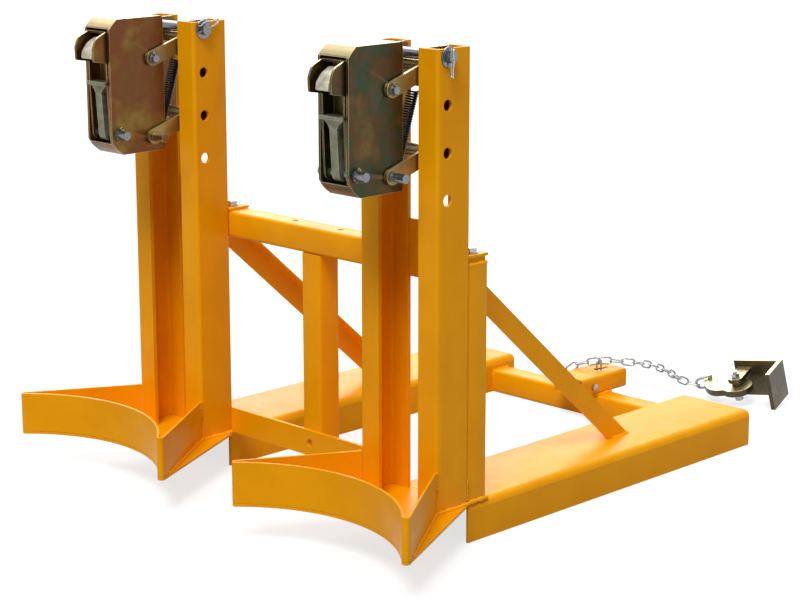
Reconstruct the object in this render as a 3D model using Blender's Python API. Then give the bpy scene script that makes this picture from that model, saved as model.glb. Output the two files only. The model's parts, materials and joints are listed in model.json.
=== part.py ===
"""Fork-mounted double drum lifter with two parrot-beak heads, in metres, +Z up.

X runs across the two masts, -Y points at the drums and +Y at the truck. The pieces are drawn in
millimetres with X = 0 midway between the masts, Y = 0 in their front faces and Z = 0 on the ground. At the
end everything is moved together, so that the origin lies on the ground under the middle of the whole part.
"""

import math

import bmesh
import bpy
from mathutils import Matrix, Vector

MM = 0.001
SEAT = 0.3  # gap between pieces that touch or are welded, mm
CUT = 10.0  # how far a cutter runs past the faces that it cuts
SHORT_CUT = 5.0
DRILL = 12.0  # how deep a drill goes through one wall of a tube
JOIN = 1.0  # how far two joined shapes run into each other
ARC = 3  # segments in a quarter of a small fillet
WIDE_ARC = 7  # and of a wide one
WIDE_FILLET = 15.0

# Drum that the lifter is made for
DRUM_RADIUS = 290.0

# Masts
MAST_SPACING = 625.0
MAST_DEPTH = 80.0
MAST_LENGTH = 800.0
CHANNEL_GAP = 96.0
FLANGE = 45.0
WEB = 6.0
FLANGE_THICKNESS = 8.0
CHANNEL_RADIUS = 6.0
HOLE_PITCH = 80.0
HOLE_COUNT = 4
HOLE_Y = 24.0
TOP_HOLE_BELOW_TOP = 14.0
TIE_THICKNESS = 5.0
TIE_HEIGHT = 103.0
TIE_BOTTOM = 460.0

# Fork pockets and tubes
POCKET_WIDTH = 175.0
POCKET_HEIGHT = 72.0
POCKET_BEHIND_TUBE = 22.0
POCKET_WALL = 5.0
POCKET_BEND = 13.0
TUBE = 50.0
TUBE_WALL = 4.0
TUBE_RADIUS = 6.0
BEAM_TOP = 509.0
POST_INSET = 3.0
NUT_PLATE_INSET = 4.0
NUT_PLATE = 10.0
STRAP_THICKNESS = 5.0
STRAP_BOLT_X = 72.0
BOLT_RADIUS = 5.0
BOLT_HOLE = 5.4
BOLT_WASHER = (12.0, 2.2)  # radius and thickness
BOLT_HEAD_RADIUS = 10.4
BOLT_HEAD_TOP = 9.5  # over the seat
BEAD_GAP = 1.5  # under a post or a bar that stands on the pockets
CORNER = 2.0
CASING_HOLE = (14.0, 32.0)  # sideways from the middle, and from the casing's back
CASING_HOLE_RADIUS = 4.0
CASING_BACK_BEND = 5.0
BOSS_RIM = 1.5  # how much a boss is narrower than half the link
CENTRE_POST_X = 5.0
SPARE_HOLE_X = 61.0
SPARE_HOLE_RADIUS = 6.0
CROSSBAR_HEIGHT = 50.0
CROSSBAR_THICKNESS = 6.0
CROSSBAR_HOLE_RADIUS = 7.0
BRACE_SHIFT = 17.5  # from the mast's middle line out to the brace
BRACE_LEG = 40.0
BRACE_THICKNESS = 4.0
BRACE_TOP = 497.0
BRACE_SLOPE = 0.875
REAR_TUBE_Y = 840.0

# Chain anchor
ANCHOR_X = 25.0
ANCHOR_WIDTH = 80.0
ANCHOR_HEIGHT = 40.0
ANCHOR_BEFORE_TUBE = 44.0
ANCHOR_LENGTH = 143.0
ANCHOR_BOLT_BACK = 34.0  # from the anchor tube's front end
ANCHOR_BOLT_HEAD = (8.0, 6.5)  # radius and height
ANCHOR_BOLT_LENGTH = 22.0
KEYHOLE_BEHIND_TUBE = 2.0  # from the cross tube's back face
KEYHOLE_RADIUS = 11.5
KEYHOLE_SLOT = 7.0
KEYHOLE_SLOT_LENGTH = 28.0

# Cradles
CRADLE_SHIFT = 8.0
CRADLE_CENTRE_Y = -411.0
CRADLE_HALF_ANGLE = math.radians(44.5)
CRADLE_STRIP = 5.0
CRADLE_HEIGHT = 76.0
CRADLE_NOSE = 7.5
STAR_PLATE = 5.0

# Heads, seen from the side: Y and Z in the top setting
CASING_HALF = 36.0
CASING_WALL = 5.0
CASING_FRONT = -149.0
CASING_BACK = -24.6
CASING_ABOVE_LINKS = 76.0  # over the upper link's pin
CASING_UNDER_LINKS = 28.0  # under the lower link's pin
CASING_LOW_BEND = 26.0
CASING_TOP_BEND = 18.0
BACK_OPENING = 63.0  # height of the opening over the lower link's pin
JAW_PIN_Y = -131.0
JAW_PIN_OVER_LINK = 10.0
JAW_PIN_RADIUS = 8.0
HEAD_LIP = 21.0  # height of the casing's front lip over its bottom
JAW_PIN_REACH = (14.0, 22.0)  # past the casing's two cheeks
LEVER_HALF = 28.0
LEVER_WALL = 4.0
CLAW_HALF = 15.0
SHELF_HALF = 27.5
STEM_HALF = 9.0
SHELF_OVER_JAW_PIN = 97.0
SHELF_THICKNESS = 6.5
LINK_WIDTH = 28.0
LINK_THICKNESS = 6.0
LINK_INNER = 38.5
LINK_FRONT = -56.0
LINK_BACK = 40.0
LINK_RISE = 31.0
LINK_UNDER_PIN = 51.0  # from the adjusting pin down to the upper link's front pin
LINK_SPACING = 145.0
UPPER_LINK_PIN = 7.0
LINK_PIN_SHORT = 10.0  # past the links
LOWER_LINK_PIN_LONG = 30.0
SMALL_WASHER = 2.6
SMALL_WASHER_RIM = 3.5
COLLAR_RIM = 1.5
LOWER_LINK_PIN = 8.0
LINK_ROD = 11.0
LINK_STUB = 8.0
STUB_END = 2.0  # past the carriage's plate
RUNNING = 0.35  # clearance of a turning pin in its hole, on the radius
CARRIAGE_INNER = 45.6
CARRIAGE_PLATE = 6.0
CARRIAGE_PLAY = 1.5
CARRIAGE_OVER_LINK = 2.0
CARRIAGE_PLATE_UNDER = 1.0  # from the upper link's pin down to the cross plate
CARRIAGE_UNDER_TOP = 1.0
CARRIAGE_CORNER = 5.0
CROSS_PLATE = 6.0
CROSS_PLATE_FRONT = 3.0
CROSS_PLATE_BACK = 4.0
TONGUE_DEPTH = 36.0
TONGUE_PLAY = 2.0
ADJUSTING_PIN = 9.5
PIN_PLAY = 0.4  # on the radius, in the carriage and the washer
MAST_HOLE_PLAY = 0.5
ADJUSTING_PIN_END = 10.0
ADJUSTING_HEAD = (15.0, 6.0)  # radius and height
WASHER_RADIUS = 17.5
WASHER_THICKNESS = 2.5
SPRING_X = 20.0
SPRING_RADIUS = 10.3
SPRING_TOP_Y = 17.0
SPRING_TOP_UNDER = 7.0  # under the upper link's pin
SPRING_BOTTOM_Y = -33.0
SPRING_BOTTOM_UNDER = 10.0  # under the lower link's pin

# Side outlines of the beak. Y is from the jaw pin, Z from that pin or from the casing's top, and the third
# number is the corner's radius.
LEVER_FOOT = (
    (-14.0, -13.0, 12.0),
    (13.0, -13.0, 12.0),
    (10.0, 28.0, 20.0),
)
LEVER_HOOD = (
    (10.0, -31.0, 6.0),
    (2.0, -22.0, 4.0),
    (-17.0, -22.0, 12.0),
    (-42.0, -33.0, 14.0),
    (-49.0, -51.0, 8.0),
    (-48.0, -74.5, 4.0),
    (-19.0, -79.0, 3.0),
    (-18.5, -115.0),
)
HOLLOW_WEB = ((6.0, 48.0),)
HOLLOW_HOOD = (
    (6.0, -26.5),
    (-17.0, -26.5),
    (-22.0, -11.0),
    (-70.0, -11.0),
)
HOLLOW_FOOT = (
    (-70.0, -40.0),
    (40.0, -40.0),
    (40.0, 48.0),
)
CLAW_SIDE = (
    (5.7, -35.0, 2.0),
    (-12.0, -34.0, 8.0),
    (-30.0, -43.0, 12.0),
    (-42.0, -58.0, 8.0),
    (-44.0, -71.0, 2.5),
    (-34.0, -71.0, 3.0),
    (-27.0, -59.0, 4.0),
    (5.7, -63.0, 2.0),
)
STEM_NECK = ((-18.0, 60.0),)
STEM_FOOT = (
    (-13.0, -12.6, 11.0),
    (12.0, -12.6, 11.0),
    (9.0, 22.0, 12.0),
    (-7.0, 70.0, 8.0),
)
STEM_FRONT = -19.0
STEM_BACK = -7.0
STEM_INTO_SHELF = 3.0
SHELF_FRONT = -157.0
SHELF_BACK = -129.0
SHELF_BAR = 6.0
SHELF_PLAY = 1.5  # between the shelf and the lever's cheeks
SHELF_FLARE = (23.0, 17.0)  # half width under the shelf, and height
SHELF_FLARE_Y = (-150.0, -138.0)
SHELF_NECK = 4.0
SHELF_CORNER = 2.5
SHELF_BACK_CORNER = 3.0

# Safety chain on the floor behind the lifter
WIRE = 2.2
LINK_PITCH = 25.5
LINK_INNER_WIDTH = 9.5
LINK_BITE = 0.25  # how far two links press into each other where they hang together
KEYHOLE_X = 28.0
STANDING_LINKS = 2  # they stand on the anchor tube's floor and lift the chain through the keyhole
CHAIN_ROUTE = (
    (53.0, 921.0, 108.0),
    (80.0, 946.0, 104.0),
    (86.0, 985.0, 94.0),
    (86.0, 1028.0, 78.0),
    (83.0, 1080.0, 52.0),
    (78.0, 1106.0, 37.0),
    (85.0, 1125.0, 27.0),
)
SLACK_ROUTE = (
    (4.0, 882.0, 103.0),
    (-24.0, 868.0, 94.0),
    (-40.0, 860.0, 72.0),
)

# Chain hook and its bracket, which lie tipped forward on the floor
BRACKET_PIVOT = (208.0, 1144.0, 34.0)
BRACKET_YAW = math.radians(14.0)
BRACKET_LEAN_X = math.radians(12.5)
BRACKET_LEAN_Y = math.radians(-7.5)
HOOK_THICKNESS = 14.0
HOOK_DISC = 33.5
HOOK_ARM = 14.5
HOOK_ARM_ROUTE = ((0.0, 0.0), (-38.0, -15.0), (-61.0, 2.0), (-76.0, 31.0))
HOOK_HOLE_RADIUS = 5.0
SQUARE_CAP = ((1.0, 0.75), (0.85, 1.0), (-0.85, 1.0), (-1.0, 0.75))  # in half widths
SHACKLE_END = (-104.0, 15.0)
PIVOT_BOLT = 5.0
BRACKET_THICKNESS = 10.0
BRACKET_HEIGHT = 83.0
BRACKET_BELOW = 41.0
BACK_PLATE_LEFT = -23.0
BACK_PLATE_RIGHT = 88.0
BACK_PLATE_Y = 51.0
SIDE_PLATE_FRONT = -19.0
EAR_WIDTH = 32.0
EAR_THICKNESS = 10.0
EAR_ROUND = 0.8  # the corners' radius in half widths
EAR_LIFT = 9.0  # height of the spacer between hook and ear
SPACER_RADIUS = 10.5
BOLT_HEAD = 19.0
BOLT_HEX = 10.0
NUT = 9.0
BOLT_TIP = 14.0
SHACKLE_WIRE = 3.3
SHACKLE_PLAY = 1.6  # between the bow and the last link
SHACKLE_PIN_PLAY = 0.15

# Levels and places that follow from the sizes
STAND_Z = POCKET_HEIGHT + SEAT
MAST_TOP = POCKET_HEIGHT + MAST_LENGTH
MAST_HALF = CHANNEL_GAP / 2 + FLANGE
MAST_X = MAST_SPACING / 2
PIN_Z = MAST_TOP - TOP_HOLE_BELOW_TOP
FRAME_Y = MAST_DEPTH + SEAT
UPPER_LINK_Z = PIN_Z - LINK_UNDER_PIN
LOWER_LINK_Z = UPPER_LINK_Z - LINK_SPACING
CASING_TOP = UPPER_LINK_Z + CASING_ABOVE_LINKS
CASING_BOTTOM = LOWER_LINK_Z - CASING_UNDER_LINKS
JAW_PIVOT = (JAW_PIN_Y, LOWER_LINK_Z + JAW_PIN_OVER_LINK)
SHELF_TOP = JAW_PIVOT[1] + SHELF_OVER_JAW_PIN
SPRING_TOP = (SPRING_TOP_Y, UPPER_LINK_Z - SPRING_TOP_UNDER)
SPRING_BOTTOM = (SPRING_BOTTOM_Y, LOWER_LINK_Z - SPRING_BOTTOM_UNDER)
BRACE_X = MAST_X + BRACE_SHIFT
POCKET_END = REAR_TUBE_Y + TUBE + POCKET_BEHIND_TUBE
ANCHOR_FRONT = REAR_TUBE_Y - ANCHOR_BEFORE_TUBE
ANCHOR_BACK = ANCHOR_FRONT + ANCHOR_LENGTH
ANCHOR_BOLT_Y = ANCHOR_FRONT + ANCHOR_BOLT_BACK
KEYHOLE_Y = REAR_TUBE_Y + TUBE + KEYHOLE_BEHIND_TUBE
KEYHOLE_SLOT_END = KEYHOLE_Y + KEYHOLE_SLOT_LENGTH
LINK_OUTER = LINK_INNER + LINK_THICKNESS
CARRIAGE_OUTER = CARRIAGE_INNER + CARRIAGE_PLATE

COLOURS = {
    "yellow_enamel": ("F0A000", 0.42, 0.0),
    "yellow_chromate": ("6B5A32", 0.38, 0.85),
    "cast_steel": ("B9B3A4", 0.55, 0.6),
    "bright_zinc": ("C9CCD0", 0.3, 0.9),
    "black_spring": ("141416", 0.45, 0.5),
}


def clear_scene():
    for obj in list(bpy.data.objects):
        bpy.data.objects.remove(obj, do_unlink=True)


def linear(channel):
    return channel / 12.92 if channel <= 0.04045 else ((channel + 0.055) / 1.055) ** 2.4


def give_material(obj, finish):
    """The piece's own Principled material, in the finish's colour."""
    code, roughness, metallic = COLOURS[finish]
    made = bpy.data.materials.new(obj.name)
    made.use_nodes = True
    shader = made.node_tree.nodes["Principled BSDF"]
    rgb = [linear(int(code[i : i + 2], 16) / 255) for i in (0, 2, 4)]
    shader.inputs["Base Color"].default_value = (*rgb, 1.0)
    shader.inputs["Roughness"].default_value = roughness
    shader.inputs["Metallic"].default_value = metallic
    obj.data.materials.append(made)


def mesh_object(name, mesh_maker):
    mesh = bpy.data.meshes.new(name)
    shape = bmesh.new()
    mesh_maker(shape)
    bmesh.ops.remove_doubles(shape, verts=shape.verts, dist=1e-4)
    bmesh.ops.recalc_face_normals(shape, faces=shape.faces)
    shape.to_mesh(mesh)
    shape.free()
    obj = bpy.data.objects.new(name, mesh)
    bpy.context.collection.objects.link(obj)
    return obj


def filleted(corners):
    """The outline through the corners: (a, b), or (a, b, radius) for a rounded one."""
    outline = []
    count = len(corners)
    for i, corner in enumerate(corners):
        here = Vector(corner[:2])
        radius = corner[2] if len(corner) > 2 else 0.0
        if radius <= 0:
            outline.append(here)
            continue
        back = (Vector(corners[i - 1][:2]) - here).normalized()
        ahead = (Vector(corners[(i + 1) % count][:2]) - here).normalized()
        half = back.angle(ahead) / 2
        centre = here + (back + ahead).normalized() * radius / math.sin(half)
        start = here + back * radius / math.tan(half) - centre
        sweep = start.angle_signed(here + ahead * radius / math.tan(half) - centre)
        segments = WIDE_ARC if radius > WIDE_FILLET else ARC
        steps = max(2, round(segments * abs(sweep) / (math.pi / 2)))
        for k in range(steps + 1):
            turned = start.copy()
            turned.rotate(Matrix.Rotation(-sweep * k / steps, 2))
            outline.append(centre + turned)
    return outline


def circle(a, b, radius, sides=20):
    return [
        (a + radius * math.cos(2 * math.pi * k / sides), b + radius * math.sin(2 * math.pi * k / sides))
        for k in range(sides)
    ]


# Each plane's two outline axes and the axis that it is extruded along
PLANES = {"XY": (0, 1, 2), "YZ": (1, 2, 0), "XZ": (0, 2, 1)}


def prism(name, outline, plane, low, high):
    """The outline in the given plane, extruded from low to high along the third axis."""
    first, second, third = PLANES[plane]

    def make(shape):
        rings = []
        for level in (low, high):
            ring = []
            for point in outline:
                place = [0.0, 0.0, 0.0]
                place[first], place[second], place[third] = point[0], point[1], level
                ring.append(shape.verts.new(place))
            rings.append(ring)
        shape.faces.new(rings[0])
        shape.faces.new(list(reversed(rings[1])))
        for k in range(len(outline)):
            after = (k + 1) % len(outline)
            shape.faces.new((rings[0][k], rings[0][after], rings[1][after], rings[1][k]))

    return mesh_object(name, make)


def box(name, x, y, z):
    return prism(name, [(x[0], y[0]), (x[1], y[0]), (x[1], y[1]), (x[0], y[1])], "XY", z[0], z[1])


def rod(name, axis, centre, radius, low, high, sides=20):
    plane = {"X": "YZ", "Y": "XZ", "Z": "XY"}[axis]
    return prism(name, circle(centre[0], centre[1], radius, sides), plane, low, high)


def combine(obj, helper, operation):
    """Applies a Boolean with the helper, which is then removed."""
    modifier = obj.modifiers.new(operation.lower(), "BOOLEAN")
    modifier.operation = operation
    modifier.object = helper
    helper.hide_render = True
    helper.display_type = "WIRE"
    bpy.context.view_layer.update()
    graph = bpy.context.evaluated_depsgraph_get()
    made = bpy.data.meshes.new_from_object(obj.evaluated_get(graph))
    obj.modifiers.clear()
    obj.data = made
    bpy.data.objects.remove(helper, do_unlink=True)
    return obj


def fuse(obj, *helpers):
    for helper in helpers:
        combine(obj, helper, "UNION")
    return obj


def cut(obj, *helpers):
    for helper in helpers:
        combine(obj, helper, "DIFFERENCE")
    return obj


def finish_piece(obj, finish, pivot=(0.0, 0.0, 0.0)):
    """Scales the mesh to metres, puts its origin on the pivot and gives it its finish."""
    obj.data.transform(Matrix.Translation(-Vector(pivot)))
    obj.data.transform(Matrix.Scale(MM, 4))
    obj.location = Vector(pivot) * MM
    obj.data.shade_smooth()
    obj.data.set_sharp_from_angle(angle=math.radians(30))
    obj.data.name = obj.name
    give_material(obj, finish)
    return obj


def rounded_box_outline(a0, a1, b0, b1, radius):
    return filleted([(a0, b0, radius), (a1, b0, radius), (a1, b1, radius), (a0, b1, radius)])


def tube(name, plane, a, b, along):
    """A square or flat tube with open ends."""
    outer = prism(name, rounded_box_outline(a[0], a[1], b[0], b[1], TUBE_RADIUS), plane, along[0], along[1])
    inner_radius = max(TUBE_RADIUS - TUBE_WALL, 0.0)
    hollow = rounded_box_outline(
        a[0] + TUBE_WALL, a[1] - TUBE_WALL, b[0] + TUBE_WALL, b[1] - TUBE_WALL, inner_radius
    )
    return cut(outer, prism("hollow", hollow, plane, along[0] - 10, along[1] + 10))


def hole_heights():
    return [PIN_Z - HOLE_PITCH * k for k in range(HOLE_COUNT)]


def make_channel(side, prefix, hand, label):
    """One U-channel of a mast: hand is +1 for the one whose web faces +X."""
    centre = side * MAST_X
    web_x = centre + hand * MAST_HALF
    tip_x = centre + hand * CHANNEL_GAP / 2
    inside_x = web_x - hand * WEB
    back = MAST_DEPTH
    outline = filleted(
        [
            (tip_x, 0.0),
            (web_x, 0.0, CHANNEL_RADIUS),
            (web_x, back, CHANNEL_RADIUS),
            (tip_x, back),
            (tip_x, back - FLANGE_THICKNESS),
            (inside_x, back - FLANGE_THICKNESS, CHANNEL_RADIUS),
            (inside_x, FLANGE_THICKNESS, CHANNEL_RADIUS),
            (tip_x, FLANGE_THICKNESS),
        ]
    )
    channel = prism(f"{prefix}_{label}_channel", outline, "XY", STAND_Z, MAST_TOP)
    for z in hole_heights():
        low, high = sorted((inside_x - hand * 4, web_x + hand * 4))
        cut(channel, rod("bore", "X", (HOLE_Y, z), ADJUSTING_PIN + MAST_HOLE_PLAY, low, high, 24))
    return finish_piece(channel, "yellow_enamel")


def make_mast(side, prefix):
    make_channel(side, prefix, -1, "mast_west")
    make_channel(side, prefix, 1, "mast_east")
    centre = side * MAST_X
    half = CHANNEL_GAP / 2 - SEAT
    tie = box(
        f"{prefix}_tie_plate",
        (centre - half, centre + half),
        (MAST_DEPTH - TIE_THICKNESS, MAST_DEPTH),
        (TIE_BOTTOM, TIE_BOTTOM + TIE_HEIGHT),
    )
    finish_piece(tie, "yellow_enamel")


def cradle_nose():
    """Centre of the right nose, about the cradle's own centre line."""
    reach = DRUM_RADIUS + CRADLE_NOSE
    return Vector(
        (reach * math.sin(CRADLE_HALF_ANGLE), CRADLE_CENTRE_Y + reach * math.cos(CRADLE_HALF_ANGLE))
    )


def tangent_angle(centre, radius, target):
    """Angle of the circle's point whose tangent runs to the target, on its outer side."""
    toward = Vector(target) - centre
    return math.atan2(toward.y, toward.x) - math.acos(radius / toward.length)


def cradle_half(radius, nose_radius, target, nose_steps=8, arc_steps=12):
    """Points from the middle of the arc round the right nose to the target."""
    points = []
    for k in range(arc_steps + 1):
        angle = CRADLE_HALF_ANGLE * k / arc_steps
        points.append(Vector((radius * math.sin(angle), CRADLE_CENTRE_Y + radius * math.cos(angle))))
    centre = cradle_nose()
    start = math.atan2(points[-1].y - centre.y, points[-1].x - centre.x)
    end = tangent_angle(centre, nose_radius, target)
    while end < start:
        end += 2 * math.pi
    for k in range(1, nose_steps + 1):
        angle = start + (end - start) * k / nose_steps
        points.append(centre + nose_radius * Vector((math.cos(angle), math.sin(angle))))
    points.append(Vector(target))
    return points


def mirrored(points):
    """The right half's points run back along the left half, then out along the right."""
    left = [Vector((-p.x, p.y)) for p in reversed(points)]
    return left[:-1] + points


def make_cradle(side, prefix):
    centre = side * MAST_X + CRADLE_SHIFT
    skew = -CRADLE_SHIFT
    edge = MAST_HALF - CRADLE_STRIP
    front = mirrored(cradle_half(DRUM_RADIUS, CRADLE_NOSE, (MAST_HALF, -SEAT)))
    back = mirrored(
        cradle_half(DRUM_RADIUS + CRADLE_STRIP, CRADLE_NOSE - CRADLE_STRIP, (edge, -SEAT))
    )
    front[0].x += skew
    front[-1].x += skew
    back[0].x += skew
    back[-1].x += skew
    ring = [p + Vector((centre, 0)) for p in front + list(reversed(back))]
    strip = prism(f"{prefix}_cradle_strip", ring, "XY", STAND_Z, STAND_Z + CRADLE_HEIGHT)
    finish_piece(strip, "yellow_enamel")
    plate = mirrored(cradle_half(DRUM_RADIUS, CRADLE_NOSE, (MAST_HALF, MAST_DEPTH)))
    plate[0].x += skew
    plate[-1].x += skew
    outline = [p + Vector((centre, 0)) for p in plate]
    star = prism(
        f"{prefix}_cradle_plate", outline, "XY", POCKET_HEIGHT - STAR_PLATE, POCKET_HEIGHT
    )
    finish_piece(star, "yellow_enamel")


def make_pocket(side, prefix):
    outer = side * (MAST_X + MAST_HALF)
    inner = outer - side * POCKET_WIDTH
    wall = side * POCKET_WALL
    bend = POCKET_BEND
    outline = filleted(
        [
            (inner, 0.0),
            (inner, POCKET_HEIGHT, bend),
            (outer, POCKET_HEIGHT, bend),
            (outer, 0.0),
            (outer - wall, 0.0),
            (outer - wall, POCKET_HEIGHT - POCKET_WALL, bend - POCKET_WALL),
            (inner + wall, POCKET_HEIGHT - POCKET_WALL, bend - POCKET_WALL),
            (inner + wall, 0.0),
        ]
    )
    pocket = prism(f"{prefix}_fork_pocket", outline, "XZ", FRAME_Y, POCKET_END)
    finish_piece(pocket, "yellow_enamel")


def make_post(side, prefix):
    outer = side * (MAST_X + MAST_HALF - POST_INSET)
    inner = outer - side * TUBE
    a = sorted((inner, outer))
    top = BEAM_TOP - NUT_PLATE - NUT_PLATE_INSET + JOIN
    post = tube(f"{prefix}_rear_post", "XY", a, (FRAME_Y, FRAME_Y + TUBE), (STAND_Z, top))
    inset = NUT_PLATE_INSET
    cap = box(
        "cap",
        (a[0] + inset, a[1] - inset),
        (FRAME_Y + inset, FRAME_Y + TUBE - inset),
        (top - JOIN, BEAM_TOP),
    )
    fuse(post, cap)
    bolt_x = side * (MAST_X + STRAP_BOLT_X)
    bore = (top - SHORT_CUT, BEAM_TOP + SHORT_CUT)
    cut(post, rod("bore", "Z", (bolt_x, FRAME_Y + TUBE / 2), BOLT_HOLE, *bore, 16))
    finish_piece(post, "yellow_enamel")


def make_strap(side, prefix):
    outer = side * (MAST_X + MAST_HALF - POST_INSET)
    inner = side * (MAST_X - MAST_HALF)
    a = sorted((inner, outer))
    z = (BEAM_TOP + SEAT, BEAM_TOP + SEAT + STRAP_THICKNESS)
    strap = prism(
        f"{prefix}_strap",
        rounded_box_outline(a[0], a[1], FRAME_Y, FRAME_Y + TUBE, CORNER),
        "XY",
        z[0],
        z[1],
    )
    for hand in (-1, 1):
        bolt_x = side * MAST_X + hand * STRAP_BOLT_X
        bore = (z[0] - SHORT_CUT, z[1] + SHORT_CUT)
        cut(strap, rod("bore", "Z", (bolt_x, FRAME_Y + TUBE / 2), BOLT_HOLE, *bore, 16))
    finish_piece(strap, "yellow_enamel")


def make_hex_bolt(name, x, y, seat_z, length):
    """A hex bolt, head up, with its washer and a plain shank."""
    radius, thickness = BOLT_WASHER
    washer = rod(name, "Z", (x, y), radius, seat_z, seat_z + thickness, 20)
    head = rod("head", "Z", (x, y), BOLT_HEAD_RADIUS, seat_z + thickness - 0.2, seat_z + BOLT_HEAD_TOP, 6)
    shank = rod("shank", "Z", (x, y), BOLT_RADIUS, seat_z - length, seat_z + JOIN, 16)
    fuse(washer, head, shank)
    return finish_piece(washer, "bright_zinc")


def make_beam():
    half = MAST_X + MAST_HALF - POST_INSET - TUBE - SEAT
    z = (BEAM_TOP - TUBE, BEAM_TOP)
    y = (FRAME_Y, FRAME_Y + TUBE)
    beam = tube("upper_beam", "YZ", y, z, (-half, half))
    middle = FRAME_Y + TUBE / 2
    drilled = (z[1] - DRILL, z[1] + SHORT_CUT)
    for hand in (-1, 1):
        spare = rod("bore", "Z", (hand * SPARE_HOLE_X, middle), SPARE_HOLE_RADIUS, *drilled, 16)
        bolt_x = hand * (MAST_X - STRAP_BOLT_X)
        bolt = rod("bore", "Z", (bolt_x, middle), BOLT_HOLE, *drilled, 16)
        cut(beam, spare, bolt)
    finish_piece(beam, "yellow_enamel")


def make_centre_post():
    x = (CENTRE_POST_X - TUBE / 2, CENTRE_POST_X + TUBE / 2)
    bottom = POCKET_HEIGHT + BEAD_GAP
    top = BEAM_TOP - TUBE - SEAT
    post = tube("centre_post", "XY", x, (FRAME_Y, FRAME_Y + TUBE), (bottom, top))
    finish_piece(post, "yellow_enamel")


def make_crossbar():
    half = MAST_X - MAST_HALF - SEAT
    bottom = POCKET_HEIGHT + BEAD_GAP
    bar = box(
        "lower_crossbar",
        (-half, half),
        (MAST_DEPTH - CROSSBAR_THICKNESS, MAST_DEPTH),
        (bottom, bottom + CROSSBAR_HEIGHT),
    )
    bore = rod(
        "bore",
        "Y",
        (CENTRE_POST_X, bottom + CROSSBAR_HEIGHT / 2),
        CROSSBAR_HOLE_RADIUS,
        MAST_DEPTH - 2 * CUT,
        MAST_DEPTH + SHORT_CUT,
        16,
    )
    cut(bar, bore)
    finish_piece(bar, "yellow_enamel")


def make_brace(side, prefix):
    """An angle bar that falls from the beam's back to the pocket's top, mitred at both ends."""
    start_y = FRAME_Y + TUBE + SEAT
    floor = POCKET_HEIGHT + SEAT
    deep = BRACE_LEG / math.cos(math.atan(BRACE_SLOPE))
    thin = BRACE_THICKNESS / math.cos(math.atan(BRACE_SLOPE))

    def band(drop):
        top = BRACE_TOP
        end = start_y + (top - floor) / BRACE_SLOPE
        low_end = start_y + (top - drop - floor) / BRACE_SLOPE
        return [(start_y, top), (end, floor), (low_end, floor), (start_y, top - drop)]

    outer = side * BRACE_X
    side_leg = sorted((outer, outer - side * BRACE_THICKNESS))
    top_leg = sorted((outer, outer - side * BRACE_LEG))
    brace = prism(f"{prefix}_brace", band(deep), "YZ", side_leg[0], side_leg[1])
    fuse(brace, prism("leg", band(thin), "YZ", top_leg[0], top_leg[1]))
    finish_piece(brace, "yellow_enamel")


def make_rear_tube():
    half = MAST_X + MAST_HALF - POCKET_WIDTH - SEAT
    rear = tube("rear_cross_tube", "YZ", (REAR_TUBE_Y, REAR_TUBE_Y + TUBE), (0.0, TUBE), (-half, half))
    finish_piece(rear, "yellow_enamel")


def make_anchor():
    x = (ANCHOR_X - ANCHOR_WIDTH / 2, ANCHOR_X + ANCHOR_WIDTH / 2)
    z = (TUBE + SEAT, TUBE + SEAT + ANCHOR_HEIGHT)
    anchor = tube("chain_anchor_tube", "XZ", x, z, (ANCHOR_FRONT, ANCHOR_BACK))
    opened = (z[1] - CUT, z[1] + SHORT_CUT)
    bore = rod("bore", "Z", (KEYHOLE_X, KEYHOLE_Y), KEYHOLE_RADIUS, *opened, 24)
    slot = box(
        "slot",
        (KEYHOLE_X - KEYHOLE_SLOT / 2, KEYHOLE_X + KEYHOLE_SLOT / 2),
        (KEYHOLE_Y, KEYHOLE_SLOT_END),
        opened,
    )
    level = (z[0] + z[1]) / 2
    bolt = rod("bore", "X", (ANCHOR_BOLT_Y, level), BOLT_HOLE, x[1] - CUT, x[1] + SHORT_CUT, 16)
    cut(anchor, bore, slot, bolt)
    finish_piece(anchor, "yellow_enamel")
    seat = x[1] + SEAT
    radius, height = ANCHOR_BOLT_HEAD
    head = rod("anchor_bolt", "X", (ANCHOR_BOLT_Y, level), radius, seat, seat + height, 6)
    shank_x = (seat - ANCHOR_BOLT_LENGTH, seat + JOIN)
    shank = rod("shank", "X", (ANCHOR_BOLT_Y, level), BOLT_RADIUS, *shank_x, 16)
    fuse(head, shank)
    finish_piece(head, "bright_zinc")


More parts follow.
